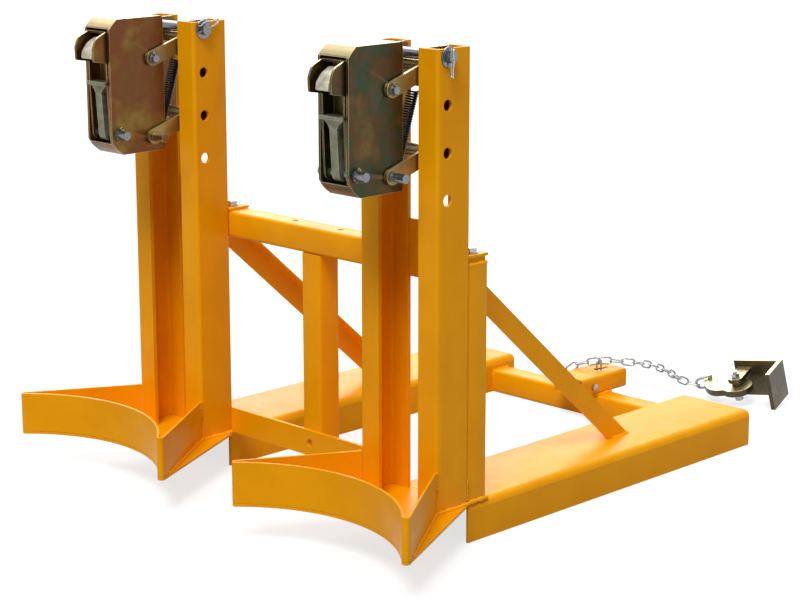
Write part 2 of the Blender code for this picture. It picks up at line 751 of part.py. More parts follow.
def make_casing(centre, prefix):
    """Folded shell: two cheeks, a rolled top, a back and a rolled bottom; open at the front."""
    front, back = CASING_FRONT, CASING_BACK
    low, top = CASING_BOTTOM, CASING_TOP
    wall = CASING_WALL
    outline = filleted(
        [
            (back, low, CORNER),
            (front, low, CASING_LOW_BEND),
            (front, top, CASING_TOP_BEND),
            (back, top, CASING_BACK_BEND),
        ]
    )
    casing = prism(f"{prefix}_head_casing", outline, "YZ", centre - CASING_HALF, centre + CASING_HALF)
    lip_low, lip_top = low + HEAD_LIP, top - CASING_TOP_BEND + JOIN
    outside, behind = front - 3 * CUT, back + 2 * CUT
    cavity = filleted(
        [
            (front + wall, low + wall, HEAD_LIP - wall - JOIN),
            (behind, low + wall),
            (behind, LOWER_LINK_Z + BACK_OPENING),
            (back - wall, LOWER_LINK_Z + BACK_OPENING),
            (back - wall, top - wall),
            (front + wall, top - wall, CASING_TOP_BEND - wall),
            (front + wall, lip_top),
            (outside, lip_top),
            (outside, lip_low),
            (front + wall, lip_low),
        ]
    )
    half = CASING_HALF - wall
    cut(casing, prism("cavity", cavity, "YZ", centre - half, centre + half))
    for z in (UPPER_LINK_Z, LOWER_LINK_Z):
        for hand in (-1, 1):
            x = sorted((centre + hand * (CASING_HALF - JOIN), centre + hand * (LINK_INNER - SEAT)))
            fuse(casing, rod("boss", "X", (LINK_FRONT, z), LINK_WIDTH / 2 - BOSS_RIM, x[0], x[1], 20))
    reach = CASING_HALF + CUT
    bores = (
        (LINK_FRONT, UPPER_LINK_Z, UPPER_LINK_PIN),
        (LINK_FRONT, LOWER_LINK_Z, LOWER_LINK_PIN),
        (*JAW_PIVOT, JAW_PIN_RADIUS),
    )
    for y, z, radius in bores:
        cut(casing, rod("bore", "X", (y, z), radius + RUNNING, centre - reach, centre + reach, 20))
    place = (centre + CASING_HOLE[0], back - CASING_HOLE[1])
    cut(casing, rod("bore", "Z", place, CASING_HOLE_RADIUS, top - DRILL, top + SHORT_CUT, 12))
    finish_piece(casing, "yellow_chromate", (centre, LINK_FRONT, UPPER_LINK_Z))


def beside_jaw_pin(outline, level):
    """Corners whose Y is given from the jaw pin and whose Z is given from the level."""
    return [(JAW_PIVOT[0] + corner[0], level + corner[1], *corner[2:]) for corner in outline]


def make_lever(centre, prefix):
    """The beak lever: two cheeks that widen into a hood, a back web and a cap over the claw."""
    y, z = JAW_PIVOT
    side = filleted(beside_jaw_pin(LEVER_FOOT, z) + beside_jaw_pin(LEVER_HOOD, CASING_TOP))
    web, hood, foot = (HOLLOW_WEB, z), (HOLLOW_HOOD, CASING_TOP), (HOLLOW_FOOT, z)
    hollow = filleted([corner for outline in (web, hood, foot) for corner in beside_jaw_pin(*outline)])
    lever = prism(f"{prefix}_beak_lever", side, "YZ", centre - LEVER_HALF, centre + LEVER_HALF)
    half = LEVER_HALF - LEVER_WALL
    cut(lever, prism("cavity", hollow, "YZ", centre - half, centre + half))
    reach = LEVER_HALF + CUT
    radius = JAW_PIN_RADIUS + RUNNING
    cut(lever, rod("bore", "X", (y, z), radius, centre - reach, centre + reach))
    finish_piece(lever, "yellow_chromate", (centre, y, z))


def make_claw(centre, prefix):
    """The cast upper claw under the hood: a nose that drops behind the drum's rim."""
    side = filleted(beside_jaw_pin(CLAW_SIDE, CASING_TOP))
    claw = prism(f"{prefix}_upper_claw", side, "YZ", centre - CLAW_HALF, centre + CLAW_HALF)
    finish_piece(claw, "cast_steel", (centre, *JAW_PIVOT))


def make_jaw(centre, prefix):
    """The cast lower jaw: a T-shaped shelf that flares out of a stem, which turns on the jaw pin."""
    y, z = JAW_PIVOT
    under = SHELF_TOP - SHELF_THICKNESS
    head = [(y + STEM_BACK, under + STEM_INTO_SHELF), (y + STEM_FRONT, under + STEM_INTO_SHELF)]
    side = filleted(beside_jaw_pin(STEM_FOOT, z) + head + beside_jaw_pin(STEM_NECK, z))
    jaw = prism(f"{prefix}_lower_jaw", side, "YZ", centre - STEM_HALF, centre + STEM_HALF)
    bar_y = SHELF_FRONT + SHELF_BAR
    between = LEVER_HALF - LEVER_WALL - SHELF_PLAY
    half = SHELF_HALF
    shelf = filleted(
        [
            (centre - half, SHELF_FRONT, SHELF_CORNER),
            (centre + half, SHELF_FRONT, SHELF_CORNER),
            (centre + half, bar_y),
            (centre + between, bar_y),
            (centre + between, SHELF_BACK, SHELF_BACK_CORNER),
            (centre - between, SHELF_BACK, SHELF_BACK_CORNER),
            (centre - between, bar_y),
            (centre - half, bar_y),
        ]
    )
    wide, tall = SHELF_FLARE
    flare = [
        (centre - wide, under + JOIN),
        (centre - wide, under - JOIN),
        (centre - STEM_HALF - SHELF_NECK, under - tall / 2),
        (centre - STEM_HALF + JOIN, under - tall),
        (centre + STEM_HALF - JOIN, under - tall),
        (centre + STEM_HALF + SHELF_NECK, under - tall / 2),
        (centre + wide, under - JOIN),
        (centre + wide, under + JOIN),
    ]
    fuse(jaw, prism("flare", flare, "XZ", *SHELF_FLARE_Y), prism("shelf", shelf, "XY", under, SHELF_TOP))
    reach = STEM_HALF + CUT
    radius = JAW_PIN_RADIUS + RUNNING
    cut(jaw, rod("bore", "X", (y, z), radius, centre - reach, centre + reach))
    finish_piece(jaw, "cast_steel", (centre, y, z))


def make_jaw_pin(centre, prefix):
    low, high = centre - CASING_HALF - JAW_PIN_REACH[0], centre + CASING_HALF + JAW_PIN_REACH[1]
    pin = rod(f"{prefix}_jaw_pin", "X", JAW_PIVOT, JAW_PIN_RADIUS, low, high)
    for hand in (-1, 1):
        x = sorted((centre + hand * (CASING_HALF + SEAT), centre + hand * (CASING_HALF + SMALL_WASHER)))
        fuse(pin, rod("washer", "X", JAW_PIVOT, JAW_PIN_RADIUS + SMALL_WASHER_RIM, *x))
    finish_piece(pin, "bright_zinc", (centre, *JAW_PIVOT))


def make_link_pin(centre, prefix, label, z, radius, reach):
    low, high = centre - LINK_OUTER - LINK_PIN_SHORT, centre + LINK_OUTER + reach
    pin = rod(f"{prefix}_{label}_link_pin", "X", (LINK_FRONT, z), radius, low, high)
    for hand in (-1, 1):
        x = sorted((centre + hand * (LINK_OUTER + SEAT), centre + hand * (LINK_OUTER + SMALL_WASHER)))
        fuse(pin, rod("collar", "X", (LINK_FRONT, z), radius + COLLAR_RIM, *x))
    finish_piece(pin, "bright_zinc", (centre, LINK_FRONT, z))


def make_link(centre, prefix, label, z, pin_radius):
    """Two flat bars on a cross rod, whose stub ends turn in the carriage's side plates."""
    rear = (LINK_BACK, z + LINK_RISE)
    angle = math.atan2(LINK_RISE, LINK_BACK - LINK_FRONT)
    half = LINK_WIDTH / 2
    steps = 10
    outline = []
    for (y, level), start in (((LINK_FRONT, z), math.pi / 2), (rear, -math.pi / 2)):
        for k in range(steps + 1):
            turn = angle + start + math.pi * k / steps
            outline.append((y + half * math.cos(turn), level + half * math.sin(turn)))
    between = (centre - LINK_INNER - JOIN, centre + LINK_INNER + JOIN)
    link = rod(f"{prefix}_{label}_link", "X", rear, LINK_ROD, *between)
    for hand in (-1, 1):
        x = sorted((centre + hand * LINK_INNER, centre + hand * LINK_OUTER))
        fuse(link, prism("bar", outline, "YZ", x[0], x[1]))
        stub = sorted((centre + hand * (LINK_OUTER - JOIN), centre + hand * (CARRIAGE_OUTER + STUB_END)))
        fuse(link, rod("stub", "X", rear, LINK_STUB, stub[0], stub[1]))
    reach = LINK_OUTER + SHORT_CUT
    bore = rod("bore", "X", (LINK_FRONT, z), pin_radius + RUNNING, centre - reach, centre + reach)
    cut(link, bore)
    finish_piece(link, "yellow_chromate", (centre, *rear))


def make_carriage(centre, prefix):
    """Two plates that slide inside the channels, joined by a spring plate and a cross rod."""
    y = (FLANGE_THICKNESS + CARRIAGE_PLAY, MAST_DEPTH - FLANGE_THICKNESS - CARRIAGE_PLAY)
    low, top = LOWER_LINK_Z + CARRIAGE_OVER_LINK, MAST_TOP - CARRIAGE_UNDER_TOP
    outline = rounded_box_outline(y[0], y[1], low, top, CARRIAGE_CORNER)
    x = (centre - CARRIAGE_OUTER, centre - CARRIAGE_INNER)
    carriage = prism(f"{prefix}_carriage", outline, "YZ", x[0], x[1])
    plate_z = UPPER_LINK_Z - CARRIAGE_PLATE_UNDER
    inner = CARRIAGE_INNER + JOIN
    tongue = LINK_INNER - TONGUE_PLAY
    front, step, back = y[0] + CROSS_PLATE_FRONT, y[0] + TONGUE_DEPTH, y[1] - CROSS_PLATE_BACK
    tee = [
        (centre - tongue, front),
        (centre + tongue, front),
        (centre + tongue, step),
        (centre + inner, step),
        (centre + inner, back),
        (centre - inner, back),
        (centre - inner, step),
        (centre - tongue, step),
    ]
    fuse(carriage, prism("tee", tee, "XY", plate_z, plate_z + CROSS_PLATE))
    fuse(carriage, prism("plate", outline, "YZ", centre + CARRIAGE_INNER, centre + CARRIAGE_OUTER))
    reach = CARRIAGE_OUTER + SHORT_CUT
    bores = (
        (HOLE_Y, PIN_Z, ADJUSTING_PIN + PIN_PLAY),
        (LINK_BACK, UPPER_LINK_Z + LINK_RISE, LINK_STUB + RUNNING),
        (LINK_BACK, LOWER_LINK_Z + LINK_RISE, LINK_STUB + RUNNING),
    )
    for bore_y, bore_z, radius in bores:
        cut(carriage, rod("bore", "X", (bore_y, bore_z), radius, centre - reach, centre + reach, 24))
    finish_piece(carriage, "yellow_chromate", (centre, HOLE_Y, PIN_Z))


def make_adjusting_pin(centre, prefix):
    seat = MAST_HALF + SEAT
    low, high = centre - seat - JOIN, centre + seat + WASHER_THICKNESS + ADJUSTING_PIN_END
    pin = rod(f"{prefix}_adjusting_pin", "X", (HOLE_Y, PIN_Z), ADJUSTING_PIN, low, high, 24)
    head = (low + JOIN - ADJUSTING_HEAD[1], low + JOIN)
    fuse(pin, rod("head", "X", (HOLE_Y, PIN_Z), ADJUSTING_HEAD[0], *head, 24))
    finish_piece(pin, "bright_zinc", (centre, HOLE_Y, PIN_Z))
    x = (centre + seat, centre + seat + WASHER_THICKNESS)
    washer = rod(f"{prefix}_pin_washer", "X", (HOLE_Y, PIN_Z), WASHER_RADIUS, x[0], x[1], 28)
    bore = rod("bore", "X", (HOLE_Y, PIN_Z), ADJUSTING_PIN + PIN_PLAY, x[0] - CUT, x[1] + CUT, 24)
    cut(washer, bore)
    finish_piece(washer, "bright_zinc", (centre, HOLE_Y, PIN_Z))


def make_spring(centre, prefix):
    """The tension spring's outer form, between its two hooks."""
    top = Vector((centre + SPRING_X, *SPRING_TOP))
    bottom = Vector((centre + SPRING_X, *SPRING_BOTTOM))
    along = top - bottom
    turn = Vector((0, 0, 1)).rotation_difference(along).to_matrix().to_4x4()
    spring = rod(f"{prefix}_lift_spring", "Z", (0.0, 0.0), SPRING_RADIUS, 0.0, along.length, 12)
    spring.data.transform(Matrix.Translation(bottom) @ turn)
    finish_piece(spring, "black_spring", tuple(bottom))


def make_head(side, prefix):
    centre = side * MAST_X
    make_casing(centre, prefix)
    make_lever(centre, prefix)
    make_claw(centre, prefix)
    make_jaw(centre, prefix)
    make_jaw_pin(centre, prefix)
    make_link(centre, prefix, "upper", UPPER_LINK_Z, UPPER_LINK_PIN)
    make_link(centre, prefix, "lower", LOWER_LINK_Z, LOWER_LINK_PIN)
    make_link_pin(centre, prefix, "upper", UPPER_LINK_Z, UPPER_LINK_PIN, LINK_PIN_SHORT)
    make_link_pin(centre, prefix, "lower", LOWER_LINK_Z, LOWER_LINK_PIN, LOWER_LINK_PIN_LONG)
    make_carriage(centre, prefix)
    make_adjusting_pin(centre, prefix)
    make_spring(centre, prefix)


def smooth_route(points, samples=24):
    """A smooth curve through the route's points."""
    padded = [points[0], *points, points[-1]]
    curve = []
    for i in range(1, len(padded) - 2):
        p0, p1, p2, p3 = (Vector(p) for p in padded[i - 1 : i + 3])
        for k in range(samples):
            t = k / samples
            curve.append(
                0.5
                * (
                    2 * p1
                    + (p2 - p0) * t
                    + (2 * p0 - 5 * p1 + 4 * p2 - p3) * t * t
                    + (3 * p1 - p0 - 3 * p2 + p3) * t * t * t
                )
            )
    curve.append(Vector(points[-1]))
    return curve


def joints_along(curve, pitch):
    """Points one pitch apart in a straight line, walking along the curve."""
    found = [curve[0]]
    for point in curve[1:]:
        while (point - found[-1]).length >= pitch:
            found.append(found[-1] + (point - found[-1]).normalized() * pitch)
    return found


def fitted_pitch(curve):
    """The pitch nearest the link's own at which a whole number of links ends at the curve's end."""
    length = sum((b - a).length for a, b in zip(curve, curve[1:]))
    count = round(length / LINK_PITCH)
    low, high = 0.8 * LINK_PITCH, 1.2 * LINK_PITCH
    for _ in range(40):
        middle = (low + high) / 2
        if len(joints_along(curve, middle)) > count:
            low = middle
        else:
            high = middle
    return low


def chain_link(start, end, turn):
    """One oval link between two joints, turned about its length."""
    pitch = (end - start).length
    along = (end - start).normalized()
    level = Vector((0, 0, 1)).cross(along)
    level = level.normalized() if level.length > 0.01 else Vector((1, 0, 0))
    up = along.cross(level)
    wide = level * math.cos(turn) + up * math.sin(turn)
    normal = along.cross(wide)
    middle = (start + end) / 2
    steps = 5
    sides = 6
    radius = LINK_INNER_WIDTH / 2 + WIRE
    straight = pitch / 2 + link_end()[0] - radius

    def make(shape):
        rings = []
        for end_sign in (1, -1):
            for k in range(steps + 1):
                angle = math.pi * k / steps - math.pi / 2
                out = along * math.cos(angle) * end_sign + wide * math.sin(angle) * end_sign
                centre = middle + along * straight * end_sign + out * radius
                ring = []
                for j in range(sides):
                    spin = 2 * math.pi * (j + 0.5) / sides
                    arm = out * math.cos(spin) + normal * math.sin(spin)
                    ring.append(shape.verts.new(centre + WIRE * arm))
                rings.append(ring)
        for k, ring in enumerate(rings):
            after = rings[(k + 1) % len(rings)]
            for j in range(sides):
                beside = (j + 1) % sides
                shape.faces.new((ring[j], ring[beside], after[beside], after[j]))

    return mesh_object("link", make)


def link_end(sides=6):
    """How far a link's wire centre lies beyond the joint, and its outer end with it."""
    centre = WIRE * math.cos(math.pi / sides) - LINK_BITE
    return centre, centre + WIRE


def keyhole_joint(level):
    """The joint at the given number of links above the foot of the standing links."""
    floor = TUBE + SEAT + TUBE_WALL
    return Vector((KEYHOLE_X, KEYHOLE_Y, floor + SEAT + link_end()[1] + LINK_PITCH * level))


def shackle_end():
    """Where the last link's end touches the shackle's wire from inside."""
    wire = bracket_frame() @ Vector((*SHACKLE_END, 0.0))
    along = (wire - Vector(CHAIN_ROUTE[-1])).normalized()
    return wire + along * (SHACKLE_WIRE + LINK_BITE + SHACKLE_PLAY)


def make_chain():
    """Chain from its slack end over the keyhole's standing links to the shackle, its links touching."""
    top = keyhole_joint(STANDING_LINKS)
    curve = smooth_route([top, *CHAIN_ROUTE, shackle_end()])
    pitch = fitted_pitch(curve)
    main = joints_along(curve, pitch)
    main[-1] = curve[-1]
    slack = joints_along(smooth_route([top, *SLACK_ROUTE]), LINK_PITCH)
    standing = [keyhole_joint(level) for level in range(STANDING_LINKS + 1)]
    links = []
    for run, first in ((main, len(main)), (slack, 1), (standing, 0)):
        for k in range(len(run) - 1):
            links.append(chain_link(run[k], run[k + 1], math.pi / 2 * ((first + k) % 2)))
    chain = links[-1]
    chain.name = "safety_chain"
    fuse(chain, *reversed(links[:-1]))
    finish_piece(chain, "bright_zinc", top)


def bracket_frame():
    return (
        Matrix.Translation(Vector(BRACKET_PIVOT))
        @ Matrix.Rotation(BRACKET_YAW, 4, "Z")
        @ Matrix.Rotation(BRACKET_LEAN_X, 4, "X")
        @ Matrix.Rotation(BRACKET_LEAN_Y, 4, "Y")
    )


def band_outline(points, half):
    """A strip of even width along the points, with a squared end."""
    left, right = [], []
    for i, point in enumerate(points):
        before = points[max(i - 1, 0)]
        after = points[min(i + 1, len(points) - 1)]
        along = (Vector(after) - Vector(before)).normalized()
        normal = Vector((-along.y, along.x))
        left.append(Vector(point) + normal * half)
        right.append(Vector(point) - normal * half)
    along = (Vector(points[-1]) - Vector(points[-2])).normalized()
    normal = Vector((-along.y, along.x))
    cap = [Vector(points[-1]) + normal * half * a + along * half * b for a, b in SQUARE_CAP]
    return left + cap + list(reversed(right))


def hook_hole():
    return HOOK_ARM_ROUTE[-1]


def make_hook():
    """The chain hook: a thick disc on the pivot bolt with a curved arm to the shackle."""
    half = HOOK_THICKNESS / 2
    arm = [point.xy for point in smooth_route([(*p, 0.0) for p in HOOK_ARM_ROUTE], 4)]
    hook = rod("hook_plate", "Z", (0.0, 0.0), HOOK_DISC, -half, half, 36)
    fuse(hook, prism("arm", band_outline(arm, HOOK_ARM), "XY", -half, half))
    cut(hook, rod("bore", "Z", hook_hole(), HOOK_HOLE_RADIUS, -half - SHORT_CUT, half + SHORT_CUT, 16))
    cut(hook, rod("bore", "Z", (0.0, 0.0), PIVOT_BOLT + RUNNING, -half - SHORT_CUT, half + SHORT_CUT, 20))
    hook.data.transform(bracket_frame())
    finish_piece(hook, "yellow_chromate", BRACKET_PIVOT)


def make_bracket():
    """Two plates at a right angle, with an ear that carries the pivot bolt."""
    low, high = -BRACKET_BELOW, BRACKET_HEIGHT - BRACKET_BELOW
    back = BACK_PLATE_Y
    thick = BRACKET_THICKNESS
    corner = [
        (BACK_PLATE_LEFT, back),
        (BACK_PLATE_RIGHT - thick, back),
        (BACK_PLATE_RIGHT - thick, SIDE_PLATE_FRONT),
        (BACK_PLATE_RIGHT, SIDE_PLATE_FRONT),
        (BACK_PLATE_RIGHT, back + thick),
        (BACK_PLATE_LEFT, back + thick),
    ]
    bracket = prism("truck_bracket", corner, "XY", low, high)
    ear_low = HOOK_THICKNESS / 2 + SEAT + EAR_LIFT
    half = EAR_WIDTH / 2
    ear = filleted(
        [
            (-half, -half, half * EAR_ROUND),
            (half, -half, half * EAR_ROUND),
            (half, back + JOIN),
            (-half, back + JOIN),
        ]
    )
    fuse(bracket, prism("ear", ear, "XY", ear_low, ear_low + EAR_THICKNESS))
    fuse(bracket, rod("spacer", "Z", (0.0, 0.0), SPACER_RADIUS, ear_low - EAR_LIFT, ear_low + JOIN))
    bore = (ear_low - EAR_LIFT - CUT, ear_low + EAR_THICKNESS + CUT)
    cut(bracket, rod("bore", "Z", (0.0, 0.0), PIVOT_BOLT + SEAT, *bore))
    bracket.data.transform(bracket_frame())
    finish_piece(bracket, "yellow_chromate", BRACKET_PIVOT)


def make_pivot_bolt():
    low = -HOOK_THICKNESS / 2 - SEAT
    high = HOOK_THICKNESS / 2 + EAR_LIFT + EAR_THICKNESS + 2 * SEAT
    bolt = rod("pivot_bolt", "Z", (0.0, 0.0), PIVOT_BOLT, low - JOIN, high + BOLT_TIP)
    fuse(bolt, rod("head", "Z", (0.0, 0.0), BOLT_HEX, low - BOLT_HEAD, low, 6))
    fuse(bolt, rod("nut", "Z", (0.0, 0.0), BOLT_HEX, high, high + NUT, 6))
    bolt.data.transform(bracket_frame())
    finish_piece(bolt, "bright_zinc", BRACKET_PIVOT)


def make_shackle():
    """A bow over the hook's end, closed by a pin through the hook's hole."""
    frame = bracket_frame()
    hole = Vector((*hook_hole(), 0.0))
    along = Vector((*SHACKLE_END, 0.0)) - hole
    reach = along.length
    along.normalize()
    bow = HOOK_THICKNESS / 2 + SHACKLE_WIRE + 1.0
    bow_centre = reach - bow
    steps = 8
    sides = 8
    up = Vector((0, 0, 1))
    path = [hole + up * bow - along * 4.0]
    for k in range(steps + 1):
        angle = math.pi / 2 - math.pi * k / steps
        path.append(hole + along * (bow_centre + bow * math.cos(angle)) + up * bow * math.sin(angle))
    path.append(hole - up * bow - along * 4.0)
    side_axis = up.cross(along)

    def make(shape):
        rings = []
        for i, point in enumerate(path):
            ahead = path[min(i + 1, len(path) - 1)] - path[max(i - 1, 0)]
            normal = ahead.normalized().cross(side_axis)
            ring = []
            for j in range(sides):
                spin = 2 * math.pi * j / sides
                offset = side_axis * math.cos(spin) + normal * math.sin(spin)
                ring.append(shape.verts.new(point + SHACKLE_WIRE * offset))
            rings.append(ring)
        for ring, after in zip(rings, rings[1:]):
            for j in range(sides):
                beside = (j + 1) % sides
                shape.faces.new((ring[j], ring[beside], after[beside], after[j]))
        shape.faces.new(rings[0])
        shape.faces.new(list(reversed(rings[-1])))

    shackle = mesh_object("chain_shackle", make)
    pin_radius = HOOK_HOLE_RADIUS - SHACKLE_PIN_PLAY
    fuse(shackle, rod("pin", "Z", hook_hole(), pin_radius, -bow - 5, bow + 5, 16))
    shackle.data.transform(frame)
    finish_piece(shackle, "bright_zinc", tuple(frame @ hole))


def make_lifter():
    for side, prefix in ((-1, "left"), (1, "right")):
        make_mast(side, prefix)
        make_cradle(side, prefix)
        make_pocket(side, prefix)
        make_post(side, prefix)
        make_strap(side, prefix)
        make_brace(side, prefix)
        make_head(side, prefix)
        for hand, label in ((-1, "west"), (1, "east")):
            make_hex_bolt(
                f"{prefix}_strap_bolt_{label}",
                side * MAST_X + hand * STRAP_BOLT_X,
                FRAME_Y + TUBE / 2,
                BEAM_TOP + STRAP_THICKNESS + 2 * SEAT,
                16.0,
            )
    make_beam()
    make_centre_post()
    make_crossbar()
    make_rear_tube()
    make_anchor()
    make_chain()
    make_hook()
    make_bracket()
    make_pivot_bolt()
    make_shackle()


def centre_footprint():
    """Moves all the pieces together, so that the origin is under the middle of the whole part's box."""
    places = [obj.location + v.co for obj in bpy.data.objects for v in obj.data.vertices]
    middle = Vector((0.0, 0.0, 0.0))
    for axis in (0, 1):
        along = [place[axis] for place in places]
        middle[axis] = (min(along) + max(along)) / 2
    for obj in bpy.data.objects:
        obj.location -= middle


clear_scene()
make_lifter()
centre_footprint()
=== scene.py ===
# %% [markdown]
# # A drum lifter for a fork lift truck
#
# The lifter slides over a truck's forks and carries two drums by their rims. It is a welded steel frame in
# golden-yellow enamel. On each of its two masts hangs a head with a beak: an upper claw and a lower jaw
# that grip the drum's rim. The heads are zinc plated and chromated, which gives an olive brown with patches
# of red and green. A chain with a hook and a loose angle bracket ties the lifter to the truck.
#
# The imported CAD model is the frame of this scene. Every place below is written in the drawing's
# millimetres, where X = 0 is midway between the masts, Y = 0 is their front face and Z = 0 is the ground.
# Y grows towards the truck, and left and right are as seen from the drums.

# %% Load the CAD model
import json
import math

import bmesh
import bpy
from mathutils import Matrix, Vector


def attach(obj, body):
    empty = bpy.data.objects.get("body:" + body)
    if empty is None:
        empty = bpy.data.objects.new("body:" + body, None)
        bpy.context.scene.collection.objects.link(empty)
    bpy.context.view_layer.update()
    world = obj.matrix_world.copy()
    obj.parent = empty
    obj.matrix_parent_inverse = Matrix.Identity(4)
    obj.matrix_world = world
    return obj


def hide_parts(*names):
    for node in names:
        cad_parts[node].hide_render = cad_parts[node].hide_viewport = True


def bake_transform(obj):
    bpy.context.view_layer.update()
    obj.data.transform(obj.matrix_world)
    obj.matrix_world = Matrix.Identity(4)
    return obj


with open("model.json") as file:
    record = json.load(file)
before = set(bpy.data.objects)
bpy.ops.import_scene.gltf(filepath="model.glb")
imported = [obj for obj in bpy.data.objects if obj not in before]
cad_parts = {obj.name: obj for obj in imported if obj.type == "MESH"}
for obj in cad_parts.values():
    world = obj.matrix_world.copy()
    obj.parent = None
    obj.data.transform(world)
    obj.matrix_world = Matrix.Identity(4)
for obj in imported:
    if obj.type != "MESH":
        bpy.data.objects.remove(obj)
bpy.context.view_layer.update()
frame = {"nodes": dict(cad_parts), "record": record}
MM = 0.001
DRAWING_ORIGIN = Vector((-0.008, -0.512006, 0.0))  # where the drawing's zero lies in the CAD frame
MAST_X = 312.5  # half the distance between the masts' centre lines
MAST_HALF = 93.0  # half a mast's width over its two channels
SIDES = (("left", -MAST_X), ("right", MAST_X))


def at(x, y, z):
    """A place in the drawing's millimetres as a point in the CAD frame."""
    return Vector((x, y, z)) * MM + DRAWING_ORIGIN


# %% [markdown]
# ## Nodes and colours
#
# The light, the floor, each finish and each repeated shape is a tree of nodes. One helper adds a node with
# its settings and its links, so that a tree reads like a recipe. Colours are written as sRGB hex values, as
# a paint chart gives them, and a second helper turns them to the linear values that Blender works with.


# %% A helper that adds a node to any tree, and one for colours
def add(tree, kind, links=None, **settings):
    """Adds one node. links names its inputs, each with a value or with the output that feeds it."""
    made = tree.nodes.new(kind)
    for name, value in settings.items():
        setattr(made, name, value)
    for name, value in (links or {}).items():
        if isinstance(value, bpy.types.NodeSocket):
            tree.links.new(value, made.inputs[name])
        else:
            made.inputs[name].default_value = value
    return made


def colour(code):
    """An sRGB hex value as the linear colour that Blender's sockets take."""
    parts = [int(code[i : i + 2], 16) / 255 for i in (0, 2, 4)]
    linear = [c / 12.92 if c <= 0.04045 else ((c + 0.055) / 1.055) ** 2.4 for c in parts]
    return (*linear, 1.0)


WHITE = colour("FFFFFF")
print("white is", WHITE)

# %% [markdown]
# ## Camera, light and floor
#
# The camera stands where the photographer stood: to the right of the drums' side and a little above the
# masts, with a long lens, so that the masts' edges stay almost parallel.
#
# The light is that of a white studio. A low white fill reaches every shadow. A key light hangs high over
# the front right corner. A wide light behind the part gives the tops their pale sheen, which only a grazing
# light can do. The camera and the reflections see the world at full white, so the fill itself can stay low
# and the enamel keeps its depth.
#
# The floor is grey felt, because a white one would light the undersides of the beams too much. It glows for
# the camera and the reflections only, so it still looks like pale paper.

# %% Camera
CAMERA_PLACE = (2806.1, -2502.7, 1264.7)
CAMERA_DOWN = math.radians(13.19)
CAMERA_TURN = math.radians(44.84)
LENS = 95.44  # mm
SENSOR_WIDTH = 36.0  # mm

camera = bpy.data.objects.new("camera", bpy.data.cameras.new("camera"))
camera.data.lens = LENS
camera.data.sensor_width = SENSOR_WIDTH
camera.location = at(*CAMERA_PLACE)
camera.rotation_euler = (math.pi / 2 - CAMERA_DOWN, 0.0, CAMERA_TURN)
bpy.context.scene.collection.objects.link(camera)
bpy.context.scene.camera = camera
bpy.context.scene.view_settings.view_transform = "Standard"
print("camera at", tuple(round(v, 3) for v in camera.location))

# %% World and lamps
FILL = 0.3
# Name, strength, width, angle from the zenith and the side it comes from, the last three in degrees.
# Side 0 is the drums' side, 90 the right and 180 the truck's.
LAMPS = (
    ("key_light", 2.3, 26, 32, 28),
    ("back_light", 2.9, 56, 55, 240),
)


def seen(tree):
    """1 for what the camera and the reflections see, and 0 for the light that falls on things."""
    path = add(tree, "ShaderNodeLightPath")
    rays = {0: path.outputs["Is Camera Ray"], 1: path.outputs["Is Glossy Ray"]}
    return add(tree, "ShaderNodeMath", rays, use_clamp=True).outputs[0]


def white_where_seen(tree, level):
    """A strength that is the given level for light, and 1 for what the camera and the reflections see."""
    scaled = add(tree, "ShaderNodeMath", {0: seen(tree), 1: 1.0 - level}, operation="MULTIPLY")
    return add(tree, "ShaderNodeMath", {0: scaled.outputs[0], 1: level}).outputs[0]


world = bpy.data.worlds.new("white_studio")
world.use_nodes = True
world.node_tree.nodes.clear()
sky = {"Color": WHITE, "Strength": white_where_seen(world.node_tree, FILL)}
background = add(world.node_tree, "ShaderNodeBackground", sky)
add(world.node_tree, "ShaderNodeOutputWorld", {"Surface": background.outputs[0]})
bpy.context.scene.world = world

for name, strength, width, zenith, side in LAMPS:
    lamp = bpy.data.objects.new(name, bpy.data.lights.new(name, "SUN"))
    lamp.data.energy = strength
    lamp.data.angle = math.radians(width)
    lamp.rotation_euler = (math.radians(zenith), 0.0, math.radians(side))
    bpy.context.scene.collection.objects.link(lamp)
print("world fill", FILL, "lamps", len(LAMPS))

# %% Floor
FLOOR_SIZE = 40.0  # metres
FLOOR_GREY = (0.34, 0.34, 0.34, 1.0)
FLOOR_GLOW = 0.72


def new_material(name):
    """A material with an empty tree."""
    material = bpy.data.materials.new(name)
    material.use_nodes = True
    material.node_tree.nodes.clear()
    return material


def pale_felt():
    """Grey felt that returns little light and glows where it is seen."""
    material = new_material("pale_felt_floor")
    tree = material.node_tree
    matt = add(tree, "ShaderNodeBsdfDiffuse", {"Color": FLOOR_GREY})
    lift = add(tree, "ShaderNodeMath", {0: seen(tree), 1: FLOOR_GLOW}, operation="MULTIPLY")
    glow = add(tree, "ShaderNodeEmission", {"Color": WHITE, "Strength": lift.outputs[0]})
    both = add(tree, "ShaderNodeAddShader", {0: matt.outputs[0], 1: glow.outputs[0]})
    add(tree, "ShaderNodeOutputMaterial", {"Surface": both.outputs[0]})
    return material


floor_mesh = bpy.data.meshes.new("floor")
reach = FLOOR_SIZE / 2
corners = [(-reach, -reach, 0.0), (reach, -reach, 0.0), (reach, reach, 0.0), (-reach, reach, 0.0)]
floor_mesh.from_pydata(corners, [], [(0, 1, 2, 3)])
floor_mesh.materials.append(pale_felt())
floor = bpy.data.objects.new("floor", floor_mesh)
bpy.context.scene.collection.objects.link(floor)
print("floor", FLOOR_SIZE, "m wide")

